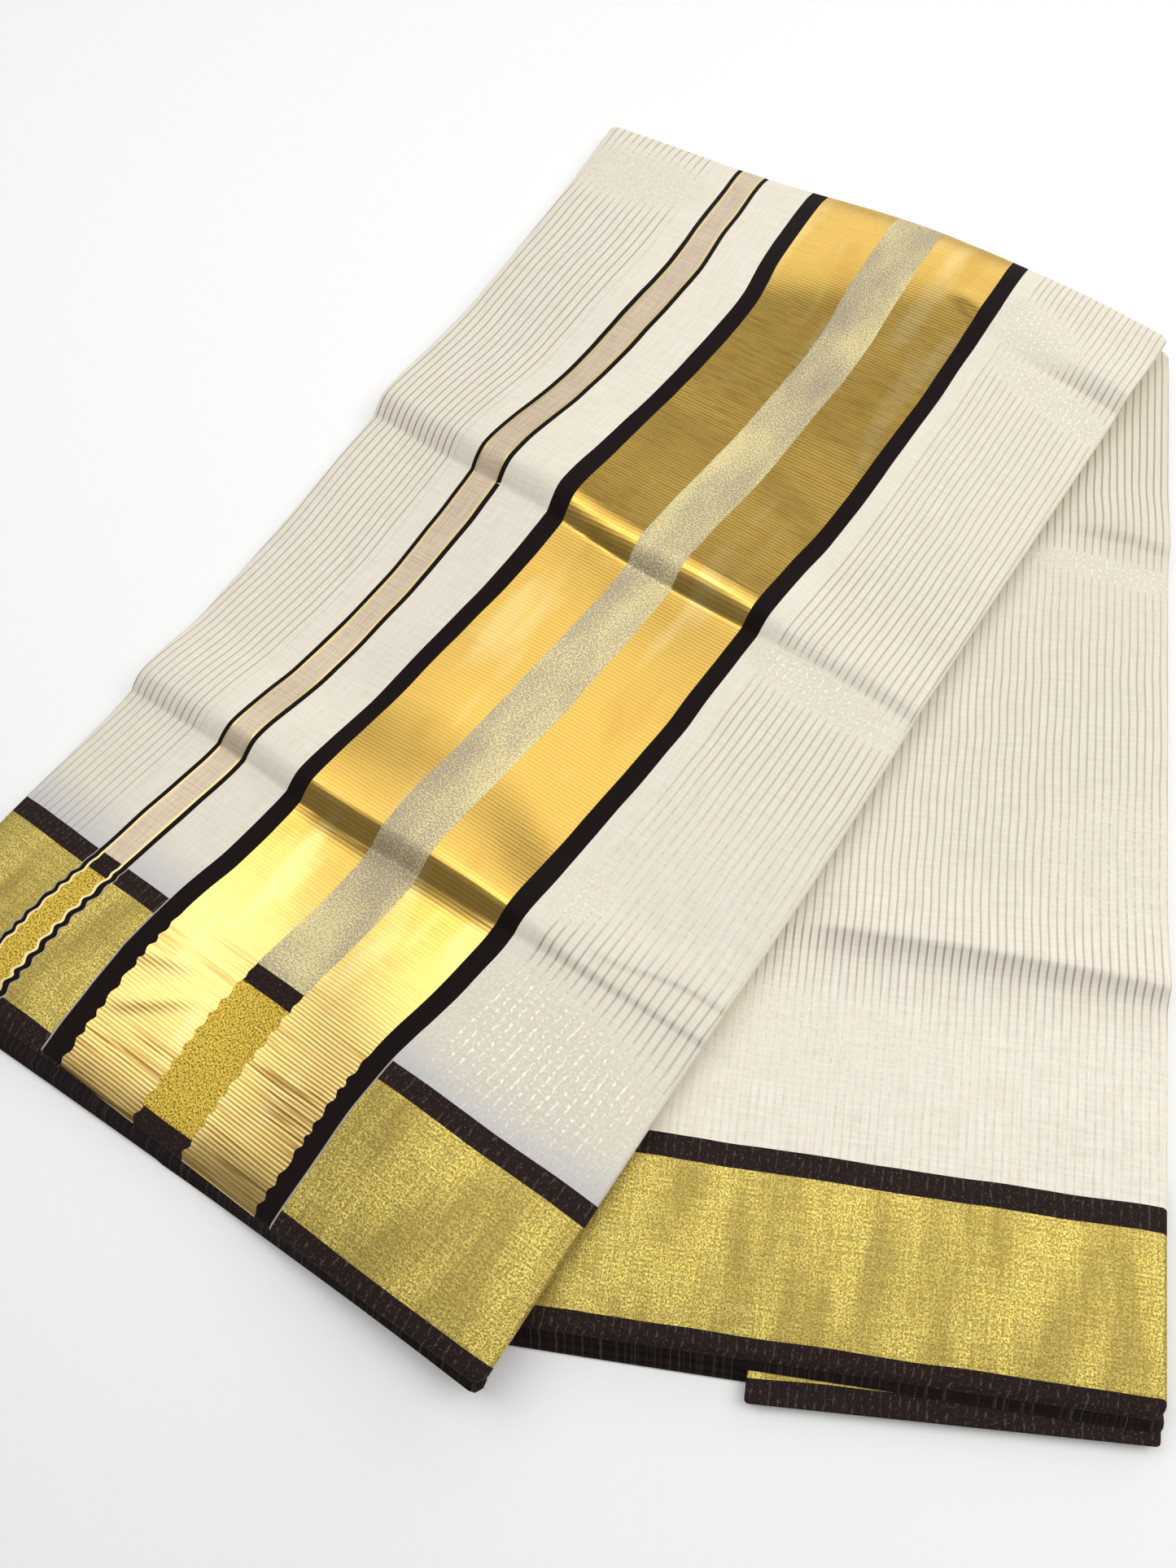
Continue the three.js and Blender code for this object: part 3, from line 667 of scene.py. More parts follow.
def pallu_place(edge_column, lip):
    def place(u, v):
        across = (u - PALLU["left"]) / (PALLU["right"] - PALLU["left"])
        up = (v - PALLU["low"]) / (PALLU["high"] - PALLU["low"])
        x = mix(flowing(PALLU_SIDES, "along", v, "left"), flowing(PALLU_SIDES, "along", v, "right"), across)
        low = flowing(PALLU_ENDS, "across", x, edge_column) + lip
        high = flowing(PALLU_ENDS, "across", x, "fold")
        y = v + (1 - up) * (low - PALLU["low"]) + up * (high - PALLU["high"])
        return x, y, x, y
    return place


def pallu_height(panel):
    cloth = relief(PALLU_CREASES, PALLU_WRINKLES, PALLU_SWELLS, panel.own_x, panel.own_y)
    return (
        support_under_pallu(panel.x, panel.y) + PALLU["rise"] + cloth - pillow(PALLU, panel.u, panel.v)
    )


def pallu_cloth_at(own_x, own_y):
    """Which thread lies at a place: across from the right fold, and up from the selvedge."""
    shifts = [flowing(PULL, "along", own_y, "shift", part) for part in range(len(PULL_THREADS))]
    last = len(PULL_THREADS) - 2
    across = own_x.copy()
    for _ in range(PULL_ROUNDS):
        shift = np.zeros_like(own_x)
        for i in range(last + 1):
            low, high = PULL_THREADS[i], PULL_THREADS[i + 1]
            inside = ((across >= low) | (i == 0)) & ((across < high) | (i == last))
            part = clamp01((across - low) / (high - low))
            shift = np.where(inside, mix(shifts[i], shifts[i + 1], part), shift)
        across = own_x - shift
    edge = flowing(PALLU_ENDS, "across", own_x, "edge")
    return across, border_place(own_y - edge, (PALLU_BORDER - edge) / BLACK_TOP)


def pallu_layers_at(own_x, own_y):
    edge = flowing(PALLU_ENDS, "across", own_x, "edge")
    return own_x, np.maximum(own_y - edge - LAYER_IN, FIRST_THREAD)


net = panel_net(PALLU, PALLU_CREASES, pallu_place("edge", LIP), across=2.8, along=3.0, at_creases=1.25)
pallu_cloth = top_sheet("pallu_cloth", net, pallu_height(net), 0.0, pallu_cloth_at, pallu_painted_light)

net = panel_net(PALLU, PALLU_CREASES, pallu_place("selvedge", 0.0), across=5.0, along=5.0, at_creases=4.0)
pallu_edges = layers(
    "pallu_edges", net, 0.0, PALLU_LEAVES, pallu_height(net) - UNDER, under_roll(net, 0.0),
    support_under_pallu(net.x, net.y), pallu_layers_at, pallu_painted_light,
)


# The body stack and the lowest layers

def body_place(u, v):
    lean = flowing(BODY_ROWS, "along", v, "lean")
    own_x = u - BODY_INSET
    own_y = v + (1 - v / BODY["high"]) * BODY_SELVEDGE + lean * u
    return (own_x, own_y, *body_to_plan(own_x, own_y))


def body_height(panel):
    seen = smooth((panel.x - RELIEF_START) / (RELIEF_FULL - RELIEF_START))
    cloth = relief(BODY_CREASES, BODY_WRINKLES, BODY_SWELLS, panel.own_x, panel.own_y)
    return BODY["rise"] + seen * cloth - pillow(BODY, panel.u, panel.v)


def body_cloth_at(own_x, own_y):
    edge = BODY_LEAN * own_x
    return own_x, border_place(own_y - edge, (BODY_BORDER + BODY_BORDER_LEAN * own_x - edge) / BLACK_TOP)


def body_layers_at(own_x, own_y):
    return own_x + PIN_ASIDE, np.maximum(own_y - BODY_LEAN * own_x - LAYER_IN, FIRST_THREAD)


def body_floor(x):
    past = smooth((TAIL["left"] - TAIL_CLEAR - x) / TAIL_STEP)
    return mix(TAIL["floor"] + TAIL["thick"] + CLEAR, BASE_RISE + CLEAR, past)


net = panel_net(BODY, BODY_CREASES, body_place, across=3.0, along=3.0, at_creases=1.3)
body_cloth = top_sheet("body_cloth", net, body_height(net), BODY_TURN, body_cloth_at, body_painted_light)

net = panel_net(BODY, BODY_CREASES, body_place, across=5.0, along=5.0, at_creases=4.0)
body_edges = layers(
    "body_edges", net, BODY_TURN, BODY_LEAVES, body_height(net) - UNDER, under_roll(net, BODY_TURN),
    body_floor(net.own_x), body_layers_at, body_painted_light,
)
base_edges = layers(
    "base_edges", net, BODY_TURN, BASE_LEAVES, np.full(net.u.shape, BASE_RISE), BASE_SHOULDER,
    np.zeros(net.u.shape), body_layers_at, body_painted_light,
)


# The tail end

def tail_place(u, v):
    up = v / TAIL["high"]
    own_x = u - TAIL_INSET
    own_y = mix(TAIL_SELVEDGE + TAIL_LEAN * u, TAIL["high"] - TAIL_END_BACK, up)
    return (own_x, own_y, *body_to_plan(own_x, own_y))


def tail_cloth_at(own_x, own_y):
    return own_x, own_y - TAIL_SELVEDGE - TAIL_LEAN * own_x


net = panel_net(TAIL, (), tail_place, across=5.0, along=6.0, at_creases=6.0)
tail_top = TAIL["floor"] + TAIL["thick"]
rim = (
    [(out, tail_top - off, 0.0) for out, off in TAIL_ROUND]
    + [(out, TAIL["floor"] + off, 0.0) for out, off in reversed(TAIL_ROUND)]
    + [(0.0, TAIL["floor"], 0.0)]
)
tail_cloth = build(
    "tail_cloth", net, np.full(net.u.shape, tail_top), rim, tail_cloth_at, body_painted_light,
    np.full(net.u.shape, TAIL["floor"]),
)


# Materials

def linear(hexa):
    """An sRGB hex colour as linear RGBA."""
    parts = [int(hexa[i:i + 2], 16) / 255 for i in (1, 3, 5)]
    return (*[c / 12.92 if c <= 0.04045 else ((c + 0.055) / 1.055) ** 2.4 for c in parts], 1.0)


def add(tree, kind, sockets=(), out=0, **settings):
    """Adds a node, sets it and links its inputs; gives the chosen output."""
    node = tree.nodes.new("ShaderNode" + kind)
    for name, value in settings.items():
        setattr(node, name, value)
    pairs = sockets.items() if isinstance(sockets, dict) else enumerate(sockets)
    for key, value in pairs:
        if isinstance(value, bpy.types.NodeSocket):
            tree.links.new(value, node.inputs[key])
        elif value is not None:
            node.inputs[key].default_value = value
    return node.outputs[out] if node.outputs else node


def weave_in(tree, cloth, masks, yarn):
    """Lays a yarn's colour, metal, roughness and height over the cloth where all the masks let it in."""
    where = masks[0]
    for mask in masks[1:]:
        where = add(tree, "Math", [where, mask], operation="MULTIPLY")
    mixed = dict(cloth)
    for key, value in yarn.items():
        if key == "colour":
            value = linear(value) if isinstance(value, str) else value
            mixed[key] = add(tree, "Mix", {0: where, 6: cloth[key], 7: value}, out=2, data_type="RGBA")
        else:
            mixed[key] = add(tree, "Mix", {0: where, 2: cloth[key], 3: value}, data_type="FLOAT")
    return mixed


# Colours. The cream shade is painted shade; the pale pin gold and the near-white are painted glints; the grey
# is a greyer, bluer tone above the border
CREAM, CREAM_DEEP, CREAM_WARM, CREAM_SHADE = "#FAF3E5", "#E9E1D0", "#FAF1DD", "#D8D0BD"
BORDER_SIDE_GREY = "#C6C5C7"
PIN_BROWN, PIN_GLINT_GOLD, PAINTED_GLINT_WHITE = "#8E7B68", "#F0E4A6", "#FFFAE8"
GOLD, GOLD_RIB, GOLD_PALE, GOLD_BROWN, GOLD_SPARK = "#E0BA5F", "#C39843", "#EFD999", "#8E6A34", "#FFF0A0"
BORDER_GOLD, BORDER_GOLD_DEEP = "#F3DD6F", "#9C8643"
TISSUE_GREY, TISSUE_GOLD = "#AFA18A", "#F6E7A8"
SPECKLE, SPECKLE_DEEP = "#F6D45A", "#7C5F16"
BEIGE, BEIGE_DEEP, BEIGE_EDGE = "#DFCEB4", "#CDB9A0", "#E6D498"
BLACK, BLACK_DEEP, BLACK_GLINT, EDGE_THREAD = "#231614", "#120605", "#9A8C7E", "#AFA698"

# Pinstripes: from where to where across the cloth, and how far apart they lie
PALLU_PINS = [(-360, -269, 4.8), (-67.5, 20, 3.68)]
BODY_PINS = [(-700, 700, 3.45)]
PIN_WIDTH = 0.9

# The pallu's bands
RIB_PITCH = 1.8  # really about 1.4 mm, drawn coarser so that the ribs show
WAVE_PACE, WAVE_DRIFT, WAVE_SWING = 0.78, 9.0, 0.75  # the uneven waves of their edges in the border
SELVEDGE, CLOTH_TOP = -50.0, 700.0
WHOLE, IN_BORDER = (SELVEDGE, CLOTH_TOP), (SELVEDGE, BORDER_TOP)


def crossing(left, right):
    """A band where it crosses the border: speckled gold between the border's two black lines."""
    return [
        (left, right, "wavy", SELVEDGE, BLACK_LOW, "black"),
        (left, right, "wavy", BLACK_LOW, BLACK_TOP, "speckle"),
        (left, right, "wavy", BLACK_TOP, BORDER_TOP, "black"),
    ]


# What is woven along the pallu's bands, each row over those before it: from where to where across,
# on a straight or a wavy line, from where to where up from the selvedge, and the yarn
BANDS = [
    (-252.4, -238.6, "wavy", *WHOLE, "beige"),
    *crossing(-254.0, -237.0),
    (-252.9, -251.3, "wavy", *WHOLE, "beige_edge"),
    (-239.7, -238.1, "wavy", *WHOLE, "beige_edge"),
    (-255.9, -255.3, "wavy", *IN_BORDER, "edge_thread"),
    (-235.9, -235.3, "wavy", *IN_BORDER, "edge_thread"),
    (-255.3, -252.7, "wavy", *WHOLE, "solid_black"),
    (-238.4, -235.8, "wavy", *WHOLE, "solid_black"),
    (-199.0, -155.0, "wavy", *WHOLE, "satin"),
    (-127.3, -85.2, "wavy", *WHOLE, "satin"),
    (-155.0, -127.3, "wavy", *WHOLE, "tissue"),
    *crossing(-155.0, -127.3),
    (-208.7, -207.8, "straight", *IN_BORDER, "edge_thread"),
    (-76.9, -76.0, "straight", *IN_BORDER, "edge_thread"),
    (-208.0, -203.0, "straight", *WHOLE, "solid_black"),
    (-204.0, -198.5, "wavy", *WHOLE, "solid_black"),
    (-85.7, -80.5, "wavy", *WHOLE, "solid_black"),
    (-81.5, -76.7, "straight", *WHOLE, "solid_black"),
]

SWAY_FINE, SWAY = 0.03, 1.6  # over long stretches the threads sway, by about this many mm
# Unevenness of the yarn and the weave: how far each kind is squeezed across and along, and how fine it is
UNEVEN = {
    "cloud": ((1.0, 0.45, 1.0), 0.035, 3.0, 0.5),
    "threads_up": ((1.0, 0.06, 1.0), 0.9, 2.0, 0.5),
    "threads_across": ((0.06, 1.0, 1.0), 0.9, 2.0, 0.5),
    "grain": ((1.0, 1.0, 1.0), 1.15, 3.0, 0.65),
    "grit": ((1.0, 0.8, 1.0), 1.3, 2.0, 0.6),
    "patches": ((1.0, 0.22, 1.0), 0.058, 1.5, 0.5),
    "sparks": ((1.0, 0.6, 1.0), 0.95, 1.0, 0.5),
    "dashes": ((1.1, 0.34, 1.0), 1.0, 1.0, 0.5),
    "drift": ((1.0, 1.0, 1.0), 0.05, 1.0, 0.5),
    "streak": ((0.05, 0.55, 1.0), 1.0, 2.0, 0.6),
    "long_streak": ((0.022, 0.62, 1.0), 1.0, 1.0, 0.5),
    "groups": ((0.016, 0.075, 1.0), 1.0, 1.0, 0.5),
}


class Yarns:
    """Where each thread lies in the cloth, in mm, how uneven it is there, and the light painted on it:
    pinstripe plainness, glints and shade.
    """

    def __init__(self, tree):
        uv = add(tree, "UVMap", uv_map="cloth")
        mm = add(tree, "VectorMath", {0: uv, 3: 1 / MM}, operation="SCALE")
        slow = add(tree, "TexNoise", {"Vector": mm, "Scale": SWAY_FINE, "Detail": 1.0}, out=1)
        sway = add(tree, "VectorMath", [slow, (0.5, 0.5, 0.5)], operation="SUBTRACT")
        sway = add(tree, "VectorMath", {0: sway, 3: SWAY}, operation="SCALE")
        placed = add(tree, "VectorMath", [mm, sway], operation="ADD")
        self.across = add(tree, "SeparateXYZ", [placed])
        self.up = self.across.node.outputs[1]
        # painted light from the mesh: how plain the pinstripes show, painted glints, and how far the cloth is
        # lit before painted shade
        finish = add(tree, "Attribute", attribute_name="finish")
        self.plain = add(tree, "SeparateColor", [finish])
        self.glitter, self.pale = self.plain.node.outputs[1], self.plain.node.outputs[2]
        self.uneven = {}
        for kind, (squeeze, scale, detail, rough) in UNEVEN.items():
            at = add(tree, "VectorMath", [mm, squeeze], operation="MULTIPLY")
            settings = {"Vector": at, "Scale": scale, "Detail": detail, "Roughness": rough}
            self.uneven[kind] = add(tree, "TexNoise", settings)
        threads = [self.uneven["threads_up"], self.uneven["threads_across"]]
        self.weave = add(tree, "Math", threads, operation="ADD")
        self.dash = add(tree, "MapRange", [self.uneven["dashes"], 0.5, 0.6])


def cream_ground(tree, at):
    """Plain weave of cream cotton, warmer in clouds, darkened with painted shade where it is less lit, and
    greyer and bluer just above the border where that shade lies.
    """
    cloth = {
        "colour": linear(CREAM_DEEP), "metal": 0.0, "rough": 0.82,
        "height": add(tree, "Math", [at.weave, 0.045], operation="MULTIPLY"),
    }
    raised = add(tree, "MapRange", [at.weave, 0.72, 1.22])
    warm = add(tree, "MapRange", [at.uneven["cloud"], 0.3, 0.75, 0.0, 0.35])
    # painted shade: the cream darkens where the cloth is less lit
    shaded = add(tree, "MapRange", [at.pale, 1.0, 0.0])
    # a greyer, bluer tone just above the border, only where the cloth is in painted shade
    near_border = add(tree, "MapRange", [at.up, BORDER_TOP, BORDER_TOP + 24.0, 0.85, 0.0])
    in_painted_shade = add(tree, "MapRange", [at.pale, 1.0, 0.9])
    for masks, colour in (
        ([raised], CREAM), ([warm], CREAM_WARM), ([shaded], CREAM_SHADE),
        ([near_border, in_painted_shade], BORDER_SIDE_GREY),
    ):
        cloth = weave_in(tree, cloth, masks, {"colour": colour})
    return cloth


def pinstripes(tree, at, cloth, pins):
    """Lines of one gold-wrapped thread in dull brown, with painted glints: pale gold dashes where the lines
    are faint or in the glinting patches, white specks in those patches, and painted shade greying the ground
    there.
    """
    lines = []
    for left, right, pitch in pins:
        ruled = add(tree, "Math", [at.across, pitch / 2], operation="PINGPONG")
        ruled = add(tree, "MapRange", [ruled, 0.3 * PIN_WIDTH, 0.62 * PIN_WIDTH, 1.0, 0.0])
        zone = add(tree, "Math", [at.across, (left + right) / 2, (right - left) / 2], operation="COMPARE")
        lines.append(add(tree, "Math", [ruled, zone], operation="MULTIPLY"))
    line = lines[0]
    for other in lines[1:]:
        line = add(tree, "Math", [line, other], operation="MAXIMUM")
    calm = add(tree, "MapRange", [at.glitter, 0.2, 0.9, 1.0, 0.12])
    dull = add(tree, "Math", [at.plain, calm], operation="MULTIPLY")
    # where they are faint they show only in short stretches
    whole = add(tree, "MapRange", [at.plain, 0.22, 0.40, 0.25, 1.0])
    stretches = add(tree, "MapRange", [at.uneven["dashes"], 0.54, 0.44])
    whole = add(tree, "Math", [whole, stretches], operation="MAXIMUM")
    cloth = weave_in(tree, cloth, [line, dull, whole], {"colour": PIN_BROWN, "height": -0.03})
    # painted glints: pale gold dashes on the lines where they are faint and in the glinting patches
    glint = add(tree, "MapRange", [at.plain, 0.15, 0.5, 0.35, 0.0])
    glint = add(tree, "Math", [glint, at.glitter], operation="MAXIMUM")
    cloth = weave_in(tree, cloth, [line, glint, at.dash], {"colour": PIN_GLINT_GOLD, "metal": 0.45, "rough": 0.4})
    # painted shade: the ground greys in the glinting patches
    shaded = add(tree, "MapRange", [at.glitter, 0.3, 1.0, 0.0, 0.5])
    cloth = weave_in(tree, cloth, [shaded], {"colour": CREAM_SHADE})
    # painted glints: white specks in the glinting patches, densest on the lines
    grains = add(tree, "MapRange", [at.uneven["sparks"], 0.50, 0.57])
    on_lines = add(tree, "MapRange", [line, 0.0, 1.0, 0.3, 1.0])
    grains = add(tree, "Math", [grains, on_lines], operation="MULTIPLY")
    return weave_in(tree, cloth, [at.glitter, grains], {"colour": PAINTED_GLINT_WHITE, "rough": 0.4})


def border_yarns(tree, at):
    """Grains of twisted gold thread, and near-black cotton with a few pale fibres."""
    grain, patches = at.uneven["grain"], at.uneven["patches"]
    grit = add(tree, "MapRange", [at.uneven["grit"], 0.42, 0.58])
    fibres = add(tree, "MapRange", [grain, 0.60, 0.70, 0.0, 0.45])
    return {
        "gold_grain": {
            **weave_in(tree, {"colour": linear(BORDER_GOLD_DEEP)}, [grit], {"colour": BORDER_GOLD}),
            "metal": 0.75,
            "rough": add(tree, "MapRange", [patches, 0.35, 0.65, 0.34, 0.48]),
            "height": add(tree, "Math", [grain, 0.42], operation="MULTIPLY"),
        },
        "black": {
            **weave_in(tree, {"colour": linear(BLACK)}, [fibres], {"colour": BLACK_GLINT}),
            "metal": 0.0, "rough": 0.72,
            "height": add(tree, "Math", [at.weave, 0.06], operation="MULTIPLY"),
        },
    }


def border(tree, at, cloth, pins, yarns):
    """The gold border between its two black lines, worn darker in patches."""
    # the grain of twisted gold thread, drawn about twice as coarse as it is so that it shows
    spark = add(tree, "MapRange", [at.uneven["grain"], 0.55, 0.66])
    for low, high, yarn in (
        (BLACK_LOW, BLACK_TOP, "gold_grain"),
        (SELVEDGE, BLACK_LOW, "black"),
        (BLACK_TOP, BORDER_TOP, "black"),
    ):
        there = add(tree, "Math", [at.up, (low + high) / 2, (high - low) / 2], operation="COMPARE")
        cloth = weave_in(tree, cloth, [there], yarns[yarn])
        if yarn == "gold_grain":
            cloth = weave_in(tree, cloth, [there, spark], {"colour": GOLD_SPARK})
            worn = add(tree, "MapRange", [at.uneven["patches"], 0.45, 0.63, 0.0, 0.5])
            cloth = weave_in(tree, cloth, [there, worn], {"colour": BORDER_GOLD_DEEP})
            worn = add(tree, "MapRange", [at.weave, 1.02, 0.88, 0.0, 0.5])
            cloth = weave_in(tree, cloth, [there, worn], {"colour": BORDER_GOLD_DEEP})
    ticks = add(tree, "Math", [at.across, pins[-1][2] / 2], operation="PINGPONG")
    ticks = add(tree, "Math", [ticks, PIN_WIDTH / 2], operation="LESS_THAN")
    faint = add(tree, "MapRange", [at.up, BORDER_TOP - 0.5, BORDER_TOP, 0.16, 0.0])
    return weave_in(tree, cloth, [ticks, at.dash, faint], {"colour": BLACK_GLINT})


def gold_satin(tree, at):
    """Weft ribs of flat gold strip; over the border they are coarser and the strip paler, with brown streaks
    in groups."""
    streak = at.uneven["streak"]
    rib = add(tree, "Math", [at.up, 2 * math.pi / RIB_PITCH], operation="MULTIPLY")
    rib = add(tree, "Math", [rib], operation="SINE")
    low_band = add(tree, "MapRange", [at.up, 66.0, 92.0, 1.0, 0.0])
    grouped = add(tree, "MapRange", [at.uneven["groups"], 0.46, 0.58])
    brown = add(tree, "MapRange", [at.uneven["long_streak"], 0.50, 0.60, 0.0, 0.75])
    gold = {"colour": linear(GOLD_RIB)}
    for masks, colour in (
        ([add(tree, "MapRange", [rib, -1.0, 0.2, 0.42, 1.0])], GOLD),
        ([add(tree, "MapRange", [streak, 0.30, 0.48, 0.10, 0.0])], GOLD_RIB),
        ([add(tree, "MapRange", [at.uneven["patches"], 0.54, 0.68, 0.0, 0.4])], GOLD_PALE),
        ([add(tree, "MapRange", [at.uneven["cloud"], 0.46, 0.30, 0.0, 0.45])], GOLD_RIB),
        ([add(tree, "MapRange", [at.up, 84.0, 140.0, 0.4, 0.0])], GOLD_PALE),
        ([low_band, grouped, brown], GOLD_BROWN),
        ([low_band, add(tree, "MapRange", [rib, -0.5, -0.95, 0.0, 0.4])], GOLD_RIB),
    ):
        gold = weave_in(tree, gold, masks, {"colour": colour})
    ridge = add(tree, "MapRange", [at.up, 70.0, 120.0, 0.019, 0.013])
    ridge = add(tree, "Math", [rib, ridge], operation="MULTIPLY")
    return {
        **gold, "metal": 1.0,
        "rough": add(tree, "MapRange", [streak, 0.3, 0.7, 0.25, 0.33]),
        "height": add(tree, "Math", [streak, 0.009, ridge], operation="MULTIPLY_ADD"),
    }


def band_yarns(tree, at):
    """The yarns of the pallu's bands: ribbed gold, tissue with clusters of loose gold, speckled gold, beige
    and plain black."""
    grain = at.uneven["grain"]
    clustered = add(tree, "Math", [at.uneven["cloud"], 0.5, grain], operation="MULTIPLY_ADD")
    clustered = add(tree, "MapRange", [clustered, 0.68, 0.86])
    speckled = add(tree, "MapRange", [at.uneven["grit"], 0.37, 0.58])
    raised = add(tree, "MapRange", [at.weave, 0.75, 1.15])
    return {
        "satin": gold_satin(tree, at),
        "tissue": {
            **weave_in(tree, {"colour": linear(TISSUE_GREY)}, [clustered], {"colour": TISSUE_GOLD}),
            "metal": 0.55, "rough": 0.46,
            "height": add(tree, "Math", [grain, 0.25], operation="MULTIPLY"),
        },
        "speckle": {
            **weave_in(tree, {"colour": linear(SPECKLE_DEEP)}, [speckled], {"colour": SPECKLE}),
            "metal": 0.75, "rough": 0.42,
            "height": add(tree, "Math", [grain, 0.42], operation="MULTIPLY"),
        },
        "beige": {
            **weave_in(tree, {"colour": linear(BEIGE_DEEP)}, [raised], {"colour": BEIGE}),
            "metal": 0.35, "rough": 0.5,
            "height": add(tree, "Math", [at.weave, 0.08], operation="MULTIPLY"),
        },
        "beige_edge": {"colour": BEIGE_EDGE, "metal": 0.6, "rough": 0.38, "height": 0.03},
        "edge_thread": {"colour": EDGE_THREAD, "metal": 0.1, "rough": 0.6, "height": 0.02},
        "solid_black": {"colour": BLACK_DEEP, "metal": 0.0, "rough": 0.75, "height": 0.02},
    }


def pallu_bands(tree, at, cloth, yarns):
    """The bands along the pallu; where they cross the border their edges run in small uneven waves."""
    drift = add(tree, "Math", [at.uneven["drift"], WAVE_DRIFT], operation="MULTIPLY")
    phase = add(tree, "Math", [at.up, WAVE_PACE, drift], operation="MULTIPLY_ADD")
    wave = add(tree, "Math", [phase], operation="SINE")
    swing = add(tree, "MapRange", [at.up, 68.0, 84.0, WAVE_SWING, 0.0])
    wave = add(tree, "Math", [wave, swing, at.across], operation="MULTIPLY_ADD")
    along = {"straight": at.across, "wavy": wave}
    for left, right, run, low, high, yarn in BANDS:
        masks = [add(tree, "Math", [along[run], (left + right) / 2, (right - left) / 2], operation="COMPARE")]
        if (low, high) != WHOLE:
            stretch = add(tree, "Math", [at.up, (low + high) / 2, (high - low) / 2], operation="COMPARE")
            masks.append(stretch)
        cloth = weave_in(tree, cloth, masks, yarns[yarn])
    return cloth


def saree_weave(name, pins, bands):
    """Handloom kasavu cotton: cream plain weave with gold pinstripes and a black-edged gold border;
    with bands, also the pallu's wide ribbed gold band and its thin companion.
    The eye sees soft matt cream ground, glittering grains in the border and satin ribs in the band."""
    material = bpy.data.materials.new(name)
    material.use_nodes = True
    tree = material.node_tree
    tree.nodes.clear()
    at = Yarns(tree)
    yarns = border_yarns(tree, at)
    cloth = cream_ground(tree, at)
    cloth = pinstripes(tree, at, cloth, pins)
    cloth = border(tree, at, cloth, pins, yarns)
    if bands:
        cloth = pallu_bands(tree, at, cloth, {**yarns, **band_yarns(tree, at)})
    bump = add(tree, "Bump", {"Height": cloth["height"], "Distance": MM, "Strength": 0.8})
    shader = add(tree, "BsdfPrincipled", {
        "Base Color": cloth["colour"],
        "Metallic": cloth["metal"],
        "Roughness": cloth["rough"],
        "IOR": 1.5,
        "Normal": bump,
        "Specular IOR Level": 0.15,
        "Sheen Weight": 0.06,
        "Sheen Roughness": 0.45,
    })
    add(tree, "OutputMaterial", {"Surface": shader})
    return material


pallu_weave = saree_weave("kasavu_pallu_weave", PALLU_PINS, True)
body_weave = saree_weave("kasavu_body_weave", BODY_PINS, False)

# What each piece is

for piece, weave, node, finish in (
    (pallu_cloth, pallu_weave, "pallu_panel", "pallu_cloth"),
    (pallu_edges, body_weave, "pallu_layers", "pallu_edges"),
    (body_cloth, body_weave, "body_panel", "body_cloth"),
    (body_edges, body_weave, "body_layers", "body_edges"),
    (base_edges, body_weave, "base_layers", "body_edges"),
    (tail_cloth, body_weave, "tail_panel", "tail_cloth"),
):
    piece.data.materials.append(weave)
    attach(piece, "root")
    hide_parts(node)

# Table, light and camera, in metres
TABLE_WIDTH, TABLE_DROP = 6.0, 0.0004

bpy.ops.object.select_all(action="DESELECT")
bpy.ops.mesh.primitive_plane_add(size=TABLE_WIDTH, location=(0, 0, -TABLE_DROP))
table_top = bpy.context.object
table_top.name = "table_top"
# Matt white paper on the table: gives the eye a plain pale ground with soft shadows
paper = bpy.data.materials.new("matt_white_paper")
paper.use_nodes = True
sheen = paper.node_tree.nodes["Principled BSDF"].inputs
sheen["Base Color"].default_value = linear("#FEFEFD")
sheen["Roughness"].default_value = 0.9
table_top.data.materials.append(paper)

world = bpy.data.worlds.new("studio")
world.use_nodes = True
backdrop = world.node_tree.nodes["Background"].inputs
backdrop["Color"].default_value = (0.97, 0.97, 1.0, 1.0)
backdrop["Strength"].default_value = 0.22
bpy.context.scene.world = world


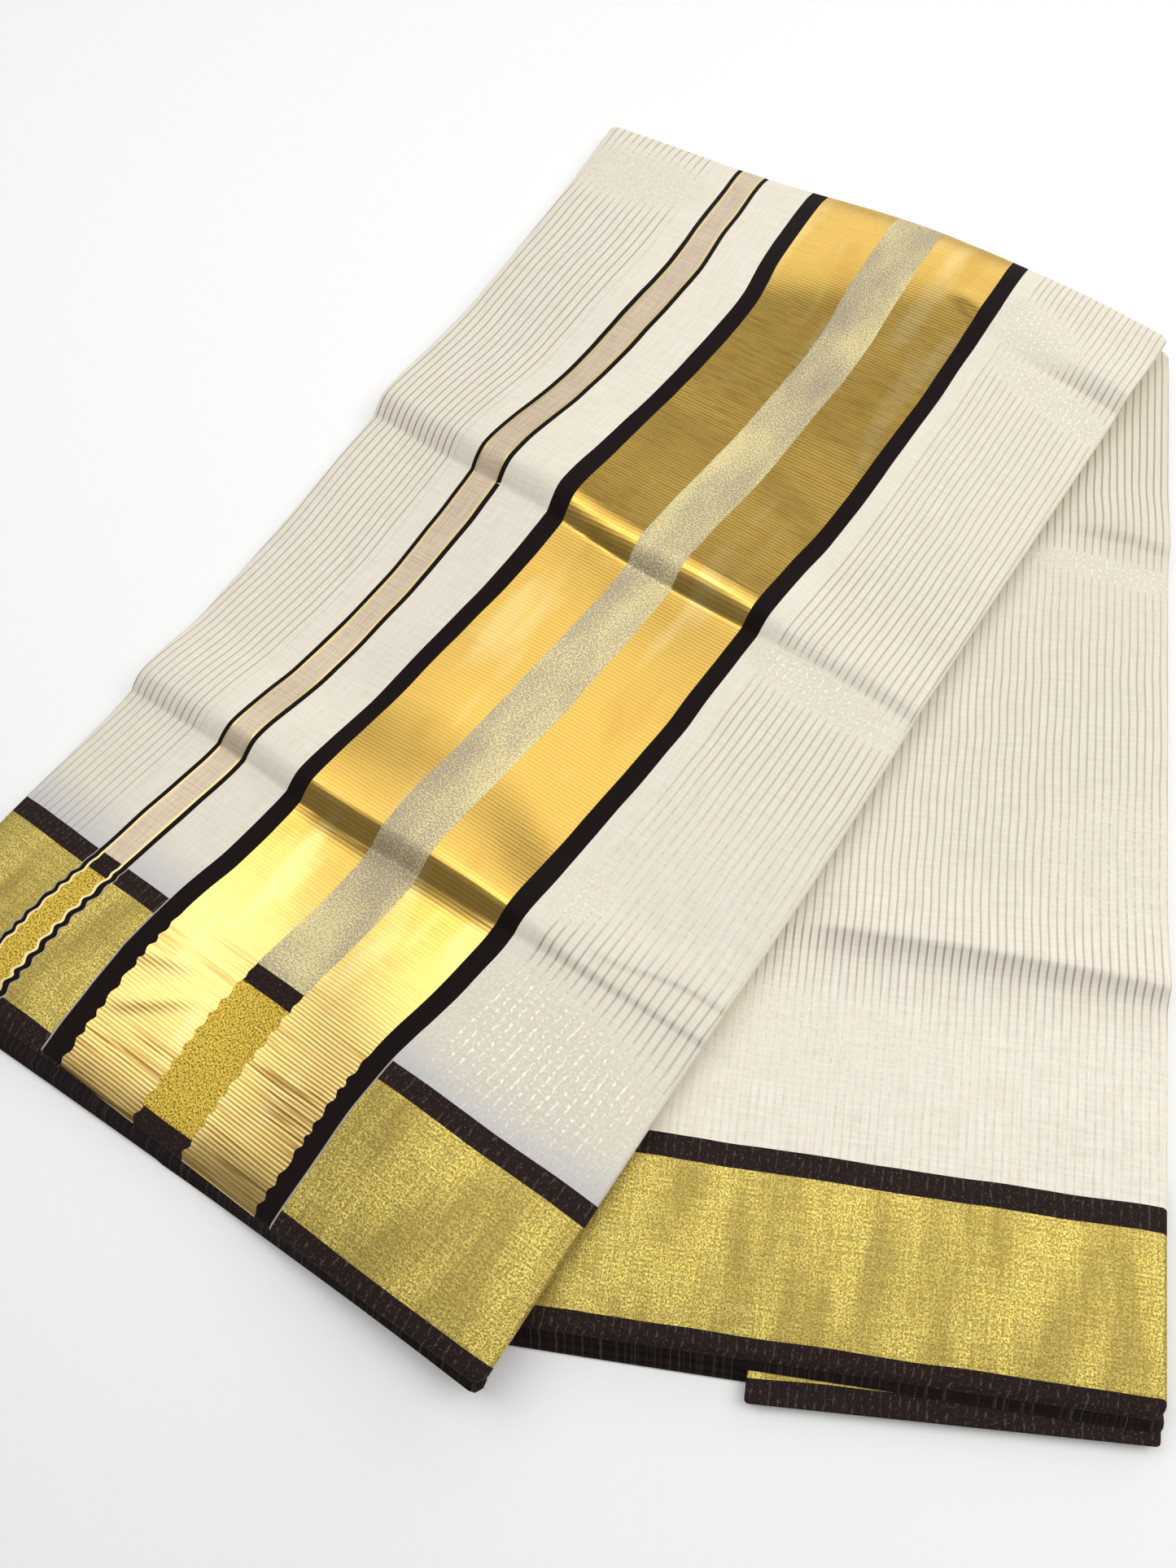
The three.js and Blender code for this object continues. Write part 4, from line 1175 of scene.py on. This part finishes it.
def soft_light(name, place, aim, size, watts, colour=(1.0, 1.0, 1.0)):
    lamp = bpy.data.lights.new(name, "AREA")
    lamp.shape = "RECTANGLE"
    lamp.size, lamp.size_y = size
    lamp.energy = watts
    lamp.color = colour
    holder = bpy.data.objects.new(name, lamp)
    bpy.context.scene.collection.objects.link(holder)
    direction = np.array(aim) - np.array(place)
    back = -direction / np.linalg.norm(direction)
    side = np.cross((0.0, 1.0, 0.001), back)
    side = side / np.linalg.norm(side)
    up = np.cross(back, side)
    holder.matrix_world = Matrix((
        (side[0], up[0], back[0], place[0]),
        (side[1], up[1], back[1], place[1]),
        (side[2], up[2], back[2], place[2]),
        (0, 0, 0, 1),
    ))


soft_light("overhead", place=(-0.45, 0.125, 1.25), aim=(-0.45, 0.125, 0.0), size=(2.5, 1.25), watts=12.2)
soft_light("overhead_near", place=(-0.60, -0.22, 1.20), aim=(-0.58, -0.20, 0.0), size=(1.0, 0.36), watts=1.6)
soft_light("far_side", place=(-0.10, 1.82, 0.80), aim=(-0.1, 0.2, 0.0), size=(2.6, 1.1), watts=11.0)
soft_light("far_right", place=(0.80, 0.50, 1.10), aim=(0.20, -0.10, 0.0), size=(0.8, 0.8), watts=6.5,
           colour=(1.0, 0.985, 0.96))

CAMERA_PLACE = (0.1373, -0.2093, 0.5430)
CAMERA_RIGHT = (0.81614, 0.56583, -0.11731)
CAMERA_DOWN = (0.48606, -0.78198, -0.39020)
CAMERA_AHEAD = (-0.31252, 0.26144, -0.91323)
LENS, SENSOR = 28.99, 36.0  # mm
NEAR_CLIP = 0.01
camera_data = bpy.data.cameras.new("camera")
camera_data.lens = LENS
camera_data.sensor_width = SENSOR
camera_data.clip_start = NEAR_CLIP
camera = bpy.data.objects.new("camera", camera_data)
bpy.context.scene.collection.objects.link(camera)
rows = [[CAMERA_RIGHT[i], -CAMERA_DOWN[i], -CAMERA_AHEAD[i], CAMERA_PLACE[i]] for i in range(3)]
camera.matrix_world = Matrix((*rows, (0, 0, 0, 1)))
bpy.context.scene.camera = camera
bpy.context.scene.view_settings.view_transform = "Standard"
